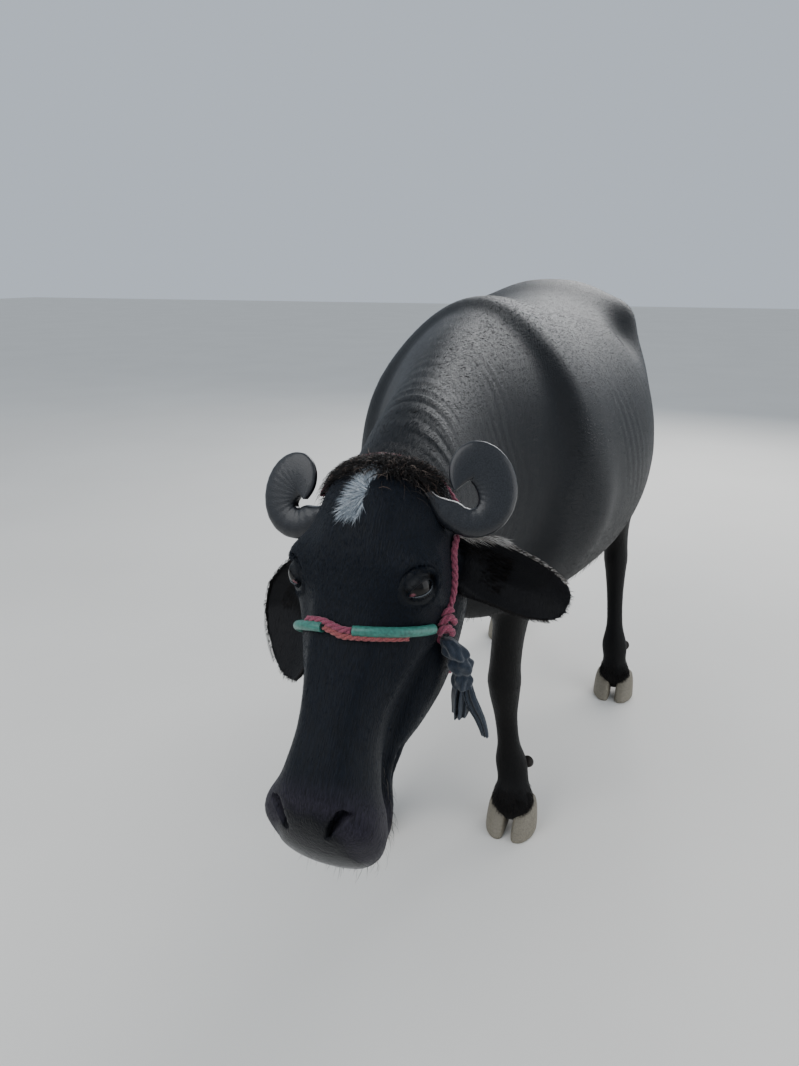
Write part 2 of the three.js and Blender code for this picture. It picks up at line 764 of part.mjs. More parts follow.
/** One lock from its root along its way, bending towards a second way, flat against a third. */
function lockLoft(root, way, bend, flat, length, width) {
  const rings = [];
  const steps = 3;
  for (let i = 0; i <= steps; i++) {
    const t = i / steps;
    const centre = root.clone().addScaledVector(way, length * t).addScaledVector(bend, length * t * t);
    const along = way.clone().addScaledVector(bend, 2 * t).normalize();
    const side = flat.clone().addScaledVector(along, -flat.dot(along)).normalize();
    const taper = [0.7, 1, 0.75, 0.12][i];
    rings.push(sweptRing(centre, along, side, width * taper, width * 0.45 * taper, 4));
  }
  return loft(rings);
}

const FRINGE = { count: 11, seed: 11, length: 54, width: 11 };
const STAR = { count: 8, seed: 23, length: 40, width: 9, whorl: new THREE.Vector3(13, -58, 0) };
const SWITCH = { count: 9, seed: 37, length: 205, width: 14 };

/** A point on the skull and its outward way, at a distance from the poll and a turn in degrees. */
function onSkull(along, degrees) {
  const at = (w, d) => bodyPoint(SKULL, sizesWhere(SKULL.stations, -w), THREE.MathUtils.degToRad(d));
  const point = at(along, degrees);
  const out = at(along + 2, degrees).sub(at(along - 2, degrees))
    .cross(at(along, degrees + 3).sub(at(along, degrees - 3))).normalize();
  if (out.dot(point.clone().sub(new THREE.Vector3(0, -along, HEAD_AXIS))) < 0) out.negate();
  return { point, out };
}

/** Fringe that stands on the poll between the horns. */
function fringeLocks() {
  const random = seeded(FRINGE.seed);
  const locks = [];
  for (let i = 0; i < FRINGE.count; i++) {
    const degrees = THREE.MathUtils.lerp(-56, 56, (i + 0.5) / FRINGE.count) + 3 * random();
    const { point, out } = onSkull(16 + 14 * random(), degrees);
    const root = point.clone().addScaledVector(out, -9);
    const way = out.clone().multiplyScalar(0.55)
      .add(new THREE.Vector3(Math.sign(degrees) * 0.45 + 0.25 * random(), 0.25 * random(), 0));
    const bend = new THREE.Vector3(0.12 * random(), -0.35, -0.1);
    locks.push(lockLoft(root, way, bend, out, FRINGE.length * (1 + 0.25 * random()), FRINGE.width));
  }
  return locks;
}

/** White star on the forehead: locks that lie round a whorl. */
function starLocks() {
  const random = seeded(STAR.seed);
  const locks = [];
  for (let i = 0; i < STAR.count; i++) {
    const turn = THREE.MathUtils.degToRad(THREE.MathUtils.lerp(60, 330, (i + 0.5) / STAR.count) + 8 * random());
    const way = new THREE.Vector3(Math.cos(turn), Math.sin(turn), 0);
    const stretch = way.y < -0.6 ? 1.25 : 0.9;
    const away = STAR.whorl.clone().addScaledVector(way, 7 + 5 * random());
    const { point, out } = onSkull(-away.y, THREE.MathUtils.radToDeg(Math.atan2(away.x, 98)));
    const root = point.clone().addScaledVector(out, -3);
    const bend = new THREE.Vector3(-way.y, way.x, 0).multiplyScalar(0.12).addScaledVector(out, -0.1);
    locks.push(lockLoft(root, way.addScaledVector(out, 0.14), bend, out, STAR.length * stretch, STAR.width));
  }
  return locks;
}

/** Switch of long hair at the end of the tail. */
function switchLocks() {
  const random = seeded(SWITCH.seed);
  const locks = [];
  for (let i = 0; i < SWITCH.count; i++) {
    const turn = i * 2.4;
    const drop = (i + 0.5) / SWITCH.count;
    const at = sizesAt(TAIL, THREE.MathUtils.lerp(TAIL.length - 3.2, TAIL.length - 1.2, drop));
    const out = new THREE.Vector3(Math.cos(turn), Math.sin(turn), 0);
    const root = new THREE.Vector3(at.x, at.y, at.z).addScaledVector(out, at.r * 0.35);
    const way = new THREE.Vector3(0.16 * out.x, 0.16 * out.y, -1);
    const bend = new THREE.Vector3(-0.1 * out.x + 0.05 * random(), -0.1 * out.y + 0.05 * random(), 0);
    locks.push(lockLoft(root, way, bend, out, SWITCH.length * (1 + 0.2 * random()), SWITCH.width));
  }
  return locks;
}

// Halter: a noseband of rope, partly in hose, knotted at both cheeks to a rope behind the ears

const KNOT_AT = { [1]: 188, [-1]: 219 };
const KNOT_TURN = { [1]: 89, [-1]: 103 };
const CHIN_AT = 232;
const CROWN = { sides: -762, middle: -790 };

/** Distance of the noseband from the poll, at a turn in degrees round the nose. */
const nosebandAt = (degrees) => 229 - (degrees > 0 ? 36 : 7) * (degrees / 88) ** 2;

/** Route round the nose between two turns, with a shift towards the muzzle and a height over the skin,
 * which is pressed in at the right. */
function nosebandRoute(from, to, lift, shiftAt = () => 0) {
  const points = [];
  const steps = Math.max(3, Math.round(Math.abs(to - from) / 11));
  for (let i = 0; i <= steps; i++) {
    const degrees = THREE.MathUtils.lerp(from, to, i / steps);
    const pressed = 5 * THREE.MathUtils.smoothstep(-degrees, 42, 68);
    points.push(onHead(nosebandAt(degrees) + shiftAt(degrees), degrees, lift - pressed));
  }
  return points;
}

/** Route up the cheek from a knot: side is 1 for the left. */
function cheekRoute(side) {
  const places = [[178, 88, 3], [152, 88, 3], [125, 86, 3], [100, 84, 3], [78, 86, 4], [60, 92, 6], [44, 96, 10]];
  if (side < 0) places.splice(0, 1, [KNOT_AT[side] - 8, KNOT_TURN[side] - 3, 3], [186, 96, 3]);
  return places.map(([along, degrees, lift]) => onHead(along, side * degrees, side > 0 ? lift : 2 * lift - 3));
}

/** Route over the neck behind the poll, from left to right. */
function crownRoute() {
  return [72, 48, 24, 0, -24, -48, -72].map((degrees) => {
    const turn = THREE.MathUtils.degToRad(degrees);
    const sizes = sizesWhere(NECK.stations, THREE.MathUtils.lerp(CROWN.sides, CROWN.middle, Math.cos(turn) ** 2));
    const point = bodyPoint(NECK, sizes, turn);
    const lift = ROPE_RADIUS + (degrees > 0 ? 13 : 22) * Math.sin(turn) ** 4;
    return point.add(new THREE.Vector3(Math.sin(turn), 0, Math.cos(turn)).multiplyScalar(lift));
  });
}

/** Route under the jaw from one knot to the other. */
function chinRoute() {
  const turns = [92, 106, 122, 140, 160, 180, -165, -150, -136, -121, -106];
  const spread = turns.length - 1;
  return turns.map((degrees, i) => {
    const ends = THREE.MathUtils.lerp(KNOT_AT[1], KNOT_AT[-1], i / spread);
    const sag = (CHIN_AT - ends) * Math.sin((Math.PI * i) / spread);
    return onHead(ends + 4 + sag, degrees, ROPE_RADIUS - 2);
  });
}

/** Knot of two crossing turns of rope round a core, at the cheek. */
function knotSolid(side) {
  const place = onHead(KNOT_AT[side], side * KNOT_TURN[side], 7);
  let knot = solid(joined(new THREE.SphereGeometry(12, 6, 5)).scale(0.75, 1.15, 1).translate(place.x, place.y, place.z));
  for (const [tilt, spin, reach] of [[0.5, 0.2, 10], [-0.8, -0.3, 9]]) {
    const turn = new THREE.TorusGeometry(reach, ROPE_RADIUS + 1, 5, 8);
    turn.scale(1.15, 1, 1).rotateX(tilt).rotateY(Math.PI / 2 + side * spin);
    knot = knot.add(solid(joined(turn).translate(place.x, place.y, place.z)));
  }
  return knot;
}

// Strip of cloth tied in below the left knot: a wrapped part and two hanging ends

const CLOTH_TOP = new THREE.Vector3(196, -886, 938);
const CLOTH_KNOT = [
  { x: 0, y: 0, z: 0, r: 8 },
  { x: 8, y: 4, z: -14, r: 15 },
  { x: 16, y: 8, z: -34, r: 17 },
  { x: 18, y: 12, z: -56, r: 14 },
  { x: 18, y: 14, z: -74, r: 12 },
];
const CLOTH_ENDS = [
  [{ x: 18, y: 14, z: -68, r: 12 }, { x: 16, y: 14, z: -90, r: 15 }, { x: 15, y: 15, z: -118, r: 13 }],
  [{ x: 20, y: 14, z: -68, r: 11 }, { x: 27, y: 17, z: -92, r: 13 }, { x: 40, y: 24, z: -122, r: 9 },
    { x: 48, y: 28, z: -148, r: 6 }],
];

/** Route of the cloth as places in the body's frame. */
const clothRoute = (route) => route.map((row) => (
  { x: row.x + CLOTH_TOP.x, y: row.y + CLOTH_TOP.y, z: row.z + CLOTH_TOP.z, r: row.r }));

/** Several closed geometries as one solid. */
function together(shapes) {
  return shapes.map(solid).reduce((sum, shape) => sum.add(shape));
}

const torsoForm = bodyLoft(TORSO);
const torsoRoom = solid(withGap(torsoForm));
const skullForm = inHead(bodyLoft(SKULL));
const jawForm = inHead(bodyLoft(JAW));
const headRoom = solid(withGap(skullForm)).add(solid(withGap(jawForm)));
const neckForm = bodyLoft(NECK);
const neckRoom = solid(withGap(neckForm));

const sides = { left: 1, right: -1 };

// Halter first: the flesh and the ears give way to it

const halter = {
  halter_hose_long: inHead(ropeAlong(nosebandRoute(14, 76, HOSE_RADIUS - 2), HOSE_RADIUS, 8)),
  halter_hose_short: inHead(ropeAlong(nosebandRoute(-92, -12, HOSE_RADIUS - 2), HOSE_RADIUS, 9)),
  halter_nose_rope: inHead(ropeAlong(
    nosebandRoute(-30, 13, ROPE_RADIUS - 1, (degrees) => -8 * THREE.MathUtils.smoothstep(8 - degrees, 0, 24)),
    ROPE_RADIUS, 7, 6)),
  halter_nose_strand: inHead(ropeAlong(
    nosebandRoute(-11, 56, ROPE_RADIUS - 1.5, (degrees) => 7.5 * THREE.MathUtils.smoothstep(degrees, -11, 6)),
    ROPE_RADIUS - 0.5, 9, 6)),
  halter_chin_rope: inHead(ropeAlong(chinRoute(), ROPE_RADIUS, 18, 6)),
};
const toHead = headPlace.clone().invert();
const crown = crownRoute().map((point) => point.applyMatrix4(toHead));
halter.halter_headstall = inHead(ropeAlong(
  [...cheekRoute(1), ...crown, ...cheekRoute(-1).reverse()], ROPE_RADIUS, 31, 6));
const knots = {};
for (const [name, side] of Object.entries(sides)) knots[name] = knotSolid(side).transform(headPlace.elements);

let knotRoom = null;
for (const [name, knot] of Object.entries(knots)) {
  const geometry = largest(knot.subtract(headRoom));
  addPiece(`halter_knot_${name}`, geometry, RED_ROPE);
  const room = solid(withGap(geometry));
  knotRoom = knotRoom ? knotRoom.add(room) : room;
}
let halterRoom = knotRoom;
for (const [name, shape] of Object.entries(halter)) {
  const finish = name.includes("hose") ? HOSE : name.includes("strand") ? ORANGE_ROPE : RED_ROPE;
  addPiece(name, solid(shape).subtract(halterRoom).subtract(headRoom).subtract(neckRoom), finish);
  halterRoom = halterRoom.add(solid(withGap(shape)));
}
const clothKnot = solid(taperAlong(clothRoute(CLOTH_KNOT), X_AXIS, 0.85, 7, 8)).subtract(halterRoom).subtract(headRoom);
const knotPiece = addPiece("cloth_knot", clothKnot, NAVY_CLOTH);
const clothRoom = solid(withGap(knotPiece.geometry));
const clothEnds = together(CLOTH_ENDS.map((route) => taperAlong(clothRoute(route), X_AXIS, 0.3, 6, 6)));
addPiece("cloth_tails", clothEnds.subtract(clothRoom).subtract(headRoom), NAVY_CLOTH);

const eyes = {};
const opening = lidOpening();
const openings = { left: opening, right: mirrored(opening) };
const nostrils = [taperAlong(NOSTRIL, X_AXIS, 0.75, 4, 7), taperAlong(NOSTRIL_WING, X_AXIS, 1, 3, 5)];
let head = solid(skullForm).add(solid(jawForm));
for (const [name, side] of Object.entries(sides)) {
  const place = [side * EYE_PLACE.x, EYE_PLACE.y, EYE_PLACE.z];
  eyes[name] = inHead(joined(new THREE.SphereGeometry(EYE_RADIUS, 12, 8)).translate(...place));
  const lids = joined(new THREE.SphereGeometry(EYE_RADIUS + LID_THICK, 12, 8)).translate(...place);
  head = head.add(solid(inHead(lids)));
  head = head.subtract(solid(withGap(eyes[name], 0.5))).subtract(solid(inHead(openings[name])));
  for (const cut of nostrils) head = head.subtract(solid(inHead(side > 0 ? cut.clone() : mirrored(cut))));
}
head = head.subtract(solid(inHead(mouthSlit())));
head = head.add(together([...fringeLocks(), ...starLocks()].map(inHead)));

addPiece("torso", solid(torsoForm), HIDE);
addPiece("neck", solid(neckForm).subtract(torsoRoom).subtract(headRoom), HIDE);

const horns = { left: inHead(hornLoft(HORN_LEFT)), right: inHead(mirrored(hornLoft(HORN_RIGHT))) };
const ears = { left: inHead(earLoft(EAR_LEFT)), right: inHead(earLoft(EAR_RIGHT)) };
for (const name of Object.keys(sides)) {
  addPiece(`eye_${name}`, eyes[name], EYE);
  const horn = solid(horns[name]).subtract(headRoom).subtract(neckRoom).subtract(halterRoom);
  const hornRoom = solid(withGap(horns[name]));
  head = head.subtract(hornRoom);
  addPiece(`horn_${name}`, horn, HORN);
  const ear = solid(ears[name]).subtract(headRoom).subtract(neckRoom).subtract(hornRoom).subtract(halterRoom);
  addPiece(`ear_${name}`, ear, HIDE);
}
addPiece("head", head, HIDE);

let legRoom = null;
for (const [name, foot] of Object.entries(FEET)) {
  const legForm = legLoft(stationsTo(foot), 11, 18);
  const room = solid(withGap(legForm));
  let leg = solid(legForm).subtract(torsoRoom);
  for (const side of [1, -1]) {
    const claw = clawLoft(foot, side);
    const place = side === foot.side ? "outer" : "inner";
    leg = leg.subtract(solid(withGap(claw)));
    addPiece(`claw_${name}_${place}`, claw, CLAW);
    addPiece(`dewclaw_${name}_${place}`, solid(dewclawLoft(foot, side)).subtract(room), CLAW);
  }
  addPiece(`leg_${name}`, leg, HIDE);
  legRoom = legRoom ? legRoom.add(room) : room;
}

addPiece("tail", solid(tailLoft()).add(together(switchLocks())).subtract(torsoRoom), HIDE);
addPiece("udder", udderSolid().subtract(torsoRoom).subtract(legRoom), HIDE);

const box = new THREE.Box3().setFromObject(model);
model.position.set(-(box.min.x + box.max.x) / 2, -(box.min.y + box.max.y) / 2, -box.min.z);

export default model;
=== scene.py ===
"""A black water buffalo cow with curled horns, standing with her head lowered, in a rope halter.

The skin is one surface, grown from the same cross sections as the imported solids. The coat is
solid tufts that lie along it, and the horns, claws, eyes and halter are pieces of their own.
"""

import logging
import math
from dataclasses import dataclass, field
from enum import Enum
from typing import Callable, Sequence

import bpy
import numpy as np
from mathutils import Matrix, Vector


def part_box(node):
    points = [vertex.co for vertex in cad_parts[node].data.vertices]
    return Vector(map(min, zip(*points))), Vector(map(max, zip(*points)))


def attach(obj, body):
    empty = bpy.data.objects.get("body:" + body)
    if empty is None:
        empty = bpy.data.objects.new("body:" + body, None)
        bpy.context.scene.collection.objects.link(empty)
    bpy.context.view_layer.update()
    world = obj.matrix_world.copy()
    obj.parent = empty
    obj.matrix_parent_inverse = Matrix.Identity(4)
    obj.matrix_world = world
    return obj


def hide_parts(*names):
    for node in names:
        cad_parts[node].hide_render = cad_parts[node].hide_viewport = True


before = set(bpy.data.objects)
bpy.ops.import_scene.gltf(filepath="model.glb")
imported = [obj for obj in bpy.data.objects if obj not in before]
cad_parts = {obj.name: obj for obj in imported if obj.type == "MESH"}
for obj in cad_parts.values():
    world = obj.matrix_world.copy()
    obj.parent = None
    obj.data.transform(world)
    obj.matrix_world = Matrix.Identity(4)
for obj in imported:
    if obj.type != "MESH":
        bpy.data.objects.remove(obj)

log = logging.getLogger("buffalo")
Array = np.ndarray
Place = Callable[[Array], Array]
MM = 0.001
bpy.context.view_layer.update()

# Frames: the body is set out in millimetres from the withers, the head from the poll

TORSO_FRONT = -232.0
POLL = np.array([80.0, -843.0, 1160.0])
HEAD_PITCH, HEAD_SPIN = 55.0, -7.0
HEAD_AXIS = -95.0


def body_shift() -> Array:
    """Where the withers' frame lies in the row's frame, in millimetres, read from the torso's box."""
    low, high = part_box("torso")
    return np.array([(low[0] + high[0]) / 2 / MM, low[1] / MM - TORSO_FRONT, 0.0])


def head_turn() -> Array:
    """Rotation of the head: spin about its length first, then pitch."""
    spin = Matrix.Rotation(math.radians(HEAD_SPIN), 3, "Y")
    pitch = Matrix.Rotation(math.radians(HEAD_PITCH), 3, "X")
    return np.array(pitch @ spin)


SHIFT = body_shift()
TURN = head_turn()


def to_row(body: Array) -> Array:
    """Points of the withers' frame in millimetres, as row points in metres."""
    return (np.asarray(body, float) + SHIFT) * MM


def to_body(row: Array) -> Array:
    """Row points in metres, as points of the withers' frame in millimetres."""
    return np.asarray(row, float) / MM - SHIFT


def head_to_body(local: Array) -> Array:
    """Points of the head's frame, poll at the origin and muzzle towards -Y, in the withers' frame."""
    return np.asarray(local, float) @ TURN.T + POLL


def body_to_head(body: Array) -> Array:
    """Points of the withers' frame in the head's frame."""
    return (np.asarray(body, float) - POLL) @ TURN


# Small number helpers


def ramp(low: float, high: float, x: Array) -> Array:
    """Smooth step from 0 at low to 1 at high, by 3 t squared less 2 t cubed."""
    t = np.clip((np.asarray(x, float) - low) / (high - low), 0.0, 1.0)
    return t * t * (3.0 - 2.0 * t)


def lerp(a: float, b: float, t: Array) -> Array:
    """Straight mix of two values."""
    return a + (b - a) * t


def unit(v: Array) -> Array:
    """Vectors of length one along the last axis."""
    return v / np.maximum(np.linalg.norm(v, axis=-1, keepdims=True), 1e-12)


def around(count: int) -> Array:
    """Even turns round a circle, in radians."""
    return np.arange(count) * 2 * math.pi / count


def bump(p: Array, x: float, y: float, z: float, wide: float, long: float, high: float) -> Array:
    """A bell over points: 1 at its middle, falling with its three half sizes.

    Args:
        p: The points.
        x, y, z: Its middle.
        wide, long, high: How far along each axis it takes to fall to 1 / e.

    Returns:
        The bell's height at each point.
    """
    far = ((p[:, 0] - x) / wide) ** 2 + ((p[:, 1] - y) / long) ** 2 + ((p[:, 2] - z) / high) ** 2
    return np.exp(-far)


def through(table: Array, places: Array) -> Array:
    """Rows of a table between its own rows: a cubic through every column, with even slopes at the rows.

    Args:
        table: Rows of numbers.
        places: Where along the table, counted in rows.

    Returns:
        One row per place.
    """
    last = len(table) - 1
    k = np.minimum(np.floor(places).astype(int), last - 1)
    t = (places - k)[:, None]
    a, b, c, d = (table[np.clip(k + n, 0, last)] for n in (-1, 0, 1, 2))
    return 0.5 * (2 * b + (c - a) * t + (2 * a - 5 * b + 4 * c - d) * t**2 + (3 * b - a - 3 * c + d) * t**3)


# Meshes from arrays


@dataclass
class Shell:
    """Points and faces that belong together: quads and triangles over one list of points."""

    points: Array
    quads: Array = field(default_factory=lambda: np.zeros((0, 4), int))
    tris: Array = field(default_factory=lambda: np.zeros((0, 3), int))

    def moved(self, place: Place) -> "Shell":
        """The same faces with every point moved by a function."""
        return Shell(place(self.points), self.quads, self.tris)

    def mirrored(self) -> "Shell":
        """The other side's copy, across x = 0, faces kept outwards."""
        return Shell(self.points * [-1, 1, 1], self.quads[:, ::-1], self.tris[:, ::-1])


def together(shells: Sequence[Shell]) -> Shell:
    """Several shells as one list of points and faces."""
    offsets = np.cumsum([0] + [len(s.points) for s in shells])
    return Shell(
        np.concatenate([s.points for s in shells]),
        np.concatenate([s.quads + o for s, o in zip(shells, offsets)]),
        np.concatenate([s.tris + o for s, o in zip(shells, offsets)]),
    )


def grid_faces(rows: int, columns: int) -> Array:
    """Quads over a grid of points, joined round its columns."""
    i, j = np.meshgrid(np.arange(rows - 1), np.arange(columns), indexing="ij")
    a = (i * columns + j).ravel()
    b = (i * columns + (j + 1) % columns).ravel()
    return np.stack([a, b, b + columns, a + columns], axis=1)


def facing_out(shell: Shell) -> Shell:
    """Turns all faces over if the volume they enclose comes out negative."""
    p = shell.points
    tris = np.concatenate([shell.tris, shell.quads[:, [0, 1, 2]], shell.quads[:, [0, 2, 3]]])
    volume = np.einsum("ij,ij->i", p[tris[:, 0]], np.cross(p[tris[:, 1]], p[tris[:, 2]])).sum()
    if volume < 0:
        return Shell(p, shell.quads[:, ::-1], shell.tris[:, ::-1])
    return shell


def loft(rings: Array) -> Shell:
    """Closed shell over rings, both ends closed to their centres.

    Args:
        rings: Points as (rings, points round each, 3).

    Returns:
        Quads between the rings and a fan of triangles over each end.
    """
    rows, columns, _ = rings.shape
    points = np.concatenate([rings.reshape(-1, 3), rings[[0, -1]].mean(axis=1)])
    j = np.arange(columns)
    after = (j + 1) % columns
    first = np.stack([after, j, np.full(columns, rows * columns)], axis=1)
    base = (rows - 1) * columns
    last = np.stack([base + j, base + after, np.full(columns, rows * columns + 1)], axis=1)
    return facing_out(Shell(points, grid_faces(rows, columns), np.concatenate([first, last])))


def make_object(name: str, shell: Shell, smooth: bool = True) -> bpy.types.Object:
    """A mesh object at the origin with its place in its mesh.

    Args:
        name: Name of the piece.
        shell: Its surface in the row's frame, in metres.
        smooth: Whether its faces are shaded as one rounded surface.

    Returns:
        The object, linked to the scene.
    """
    quads, tris = shell.quads, shell.tris
    corners = np.concatenate([quads.ravel(), tris.ravel()]).astype(np.int32)
    starts = np.concatenate([np.arange(len(quads)) * 4, len(quads) * 4 + np.arange(len(tris)) * 3])
    mesh = bpy.data.meshes.new(name)
    mesh.vertices.add(len(shell.points))
    mesh.vertices.foreach_set("co", shell.points.astype(np.float32).ravel())
    mesh.loops.add(len(corners))
    mesh.loops.foreach_set("vertex_index", corners)
    mesh.polygons.add(len(quads) + len(tris))
    mesh.polygons.foreach_set("loop_start", starts.astype(np.int32))
    mesh.update(calc_edges=True)
    mesh.polygons.foreach_set("use_smooth", np.full(len(mesh.polygons), smooth))
    mesh.validate()
    piece = bpy.data.objects.new(name, mesh)
    bpy.context.scene.collection.objects.link(piece)
    return piece


def apply_modifiers(piece: bpy.types.Object) -> None:
    """Replaces a piece's mesh by what its modifiers make of it."""
    graph = bpy.context.evaluated_depsgraph_get()
    result = bpy.data.meshes.new_from_object(piece.evaluated_get(graph), depsgraph=graph)
    old = piece.data
    piece.modifiers.clear()
    piece.data = result
    bpy.data.meshes.remove(old)
    result.name = piece.name


def read_vectors(items: bpy.types.bpy_prop_collection, key: str) -> Array:
    """One vector of every item, as rows."""
    flat = np.empty(len(items) * 3, np.float32)
    items.foreach_get(key, flat)
    return flat.reshape(-1, 3).astype(float)


def read_numbers(items: bpy.types.bpy_prop_collection, key: str, each: int = 1) -> Array:
    """Whole numbers of every item, one or more each, in one row."""
    flat = np.empty(len(items) * each, np.int32)
    items.foreach_get(key, flat)
    return flat


def read_points(mesh: bpy.types.Mesh) -> Array:
    """A mesh's points as an array."""
    return read_vectors(mesh.vertices, "co")


def read_normals(mesh: bpy.types.Mesh) -> Array:
    """A mesh's point normals as an array."""
    return read_vectors(mesh.vertex_normals, "vector")


def read_faces(mesh: bpy.types.Mesh) -> tuple[Array, Array]:
    """A mesh's quads and triangles as arrays of point numbers."""
    starts = read_numbers(mesh.polygons, "loop_start")
    sizes = read_numbers(mesh.polygons, "loop_total")
    corners = read_numbers(mesh.loops, "vertex_index").astype(int)
    return tuple(corners[starts[sizes == n][:, None] + np.arange(n)] for n in (4, 3))


def write_points(mesh: bpy.types.Mesh, points: Array) -> None:
    """Moves a mesh's points."""
    mesh.vertices.foreach_set("co", points.astype(np.float32).ravel())
    mesh.update()


def write_tone(mesh: bpy.types.Mesh, tone: Array) -> None:
    """Gives every point of a mesh its own colour, in linear light."""
    layer = mesh.color_attributes.new("tone", "FLOAT_COLOR", "POINT")
    full = np.concatenate([tone, np.ones((len(tone), 1))], axis=1)
    layer.data.foreach_set("color", full.astype(np.float32).ravel())


def remesh(shells: Sequence[Shell], voxel_mm: float, name: str) -> bpy.types.Object:
    """One even surface over several closed shells that overlap.

    Args:
        shells: The shells, in metres.
        voxel_mm: Edge of the cells that the new surface is drawn through.
        name: Name of the piece.

    Returns:
        The new piece.
    """
    piece = make_object(name, together(shells))
    change = piece.modifiers.new("even", "REMESH")
    change.mode = "VOXEL"
    change.voxel_size = voxel_mm * MM
    change.use_smooth_shade = True
    apply_modifiers(piece)
    return piece


def relax(mesh: bpy.types.Mesh, weight: Array, rounds: int) -> None:
    """Moves every point towards the mean of its neighbours.

    Args:
        mesh: The mesh to soften.
        weight: Share of the way that each point goes in a round.
        rounds: How often.
    """
    a, b = read_numbers(mesh.edges, "vertices", 2).reshape(-1, 2).T
    count = len(mesh.vertices)
    near = np.bincount(a, minlength=count) + np.bincount(b, minlength=count)
    points = read_points(mesh)
    for _ in range(rounds):
        total = np.empty_like(points)
        for axis in range(3):
            column = points[:, axis]
            total[:, axis] = np.bincount(a, column[b], count) + np.bincount(b, column[a], count)
        points += weight[:, None] * (total / near[:, None] - points)
    write_points(mesh, points)


# Body forms: the cross sections that the solids are lofted from


def sections(*rows: Sequence[float]) -> Array:
    """A table of cross sections across the body's or the head's length, in millimetres.

    A row holds the place along the length, the middle's height, the half width, the reach above and
    below the middle, the powers that draw the sides in above (ridge) and below (keel), and the
    sideways shift. Short rows are filled with ridge 1, keel 1 and shift 0.
    """
    rest = (1.0, 1.0, 0.0)
    return np.array([list(row) + list(rest[len(row) - 5:]) for row in rows], float)


TORSO = sections(
    (-232, 800, 40, 50, 60),
    (-205, 815, 135, 150, 130),
    (-140, 850, 215, 320, 230),
    (-60, 880, 262, 445, 290, 1.1),
    (0, 885, 288, 450, 315, 1.15),
    (120, 880, 312, 452, 330, 1.12),
    (300, 875, 344, 437, 350, 1.1, 0.92),
    (480, 875, 368, 437, 366, 1.05, 0.84),
    (640, 880, 374, 446, 368, 1, 0.84),
    (760, 900, 356, 449, 345, 0.92, 0.88),
    (860, 935, 338, 424, 308, 0.82, 0.95),
    (960, 965, 311, 388, 282, 0.8),
    (1060, 990, 264, 348, 255, 0.85),
    (1140, 1010, 198, 298, 225, 0.9),
    (1190, 1025, 130, 232, 170),
    (1218, 1035, 50, 120, 90),
)
NECK = sections(
    (40, 975, 185, 330, 280, 1.15, 1, 0),
    (-100, 965, 208, 345, 290, 1.2, 1, 2),
    (-200, 975, 188, 322, 275, 1.25, 1, 7),
    (-300, 992, 152, 290, 240, 1.2, 1, 16),
    (-400, 1008, 124, 252, 202, 1.15, 1, 28),
    (-510, 1022, 107, 212, 172, 1.1, 1, 42),
    (-640, 1030, 99, 172, 148, 1, 1, 62),
    (-750, 1030, 94, 130, 128, 1, 1, 74),
    (-820, 1030, 70, 95, 95, 1, 1, 80),
    (-850, 1030, 35, 50, 50, 1, 1, 80),
)
SKULL = sections(
    (14, -78, 34, 30, 50),
    (0, -80, 68, 62, 85),
    (-25, -80, 84, 84, 100, 0.85),
    (-60, -80, 92, 97, 100, 0.8),
    (-100, -78, 98, 98, 100, 0.8),
    (-138, -74, 105, 89, 100, 0.8),
    (-170, -72, 104, 78, 98, 0.85),
    (-205, -74, 92, 71, 92, 0.85),
    (-250, -76, 76, 67, 78, 0.85),
    (-300, -78, 64, 65, 62, 0.85),
    (-350, -80, 60, 66, 50, 0.85),
    (-400, -82, 66, 70, 42, 0.8, 0.85),
    (-432, -86, 78, 70, 42, 0.8, 0.8),
    (-462, -92, 82, 60, 40, 0.8, 0.8),
    (-486, -100, 70, 44, 34, 0.85, 0.85),
    (-500, -106, 48, 26, 22),
    (-506, -108, 20, 10, 10),
)
JAW = sections(
    (0, -150, 50, 40, 45),
    (-40, -150, 76, 55, 68),
    (-90, -150, 92, 60, 95),
    (-150, -150, 98, 60, 110),
    (-210, -148, 96, 58, 110),
    (-260, -146, 89, 52, 100),
    (-310, -140, 76, 42, 70),
    (-350, -132, 62, 34, 42),
    (-385, -128, 58, 28, 26),
    (-425, -124, 70, 26, 26),
    (-458, -122, 69, 24, 28),
    (-480, -122, 50, 18, 22),
    (-490, -122, 22, 10, 11),
)

# Legs, tail and udder: level sections as (z, x, y, half width, front, back)

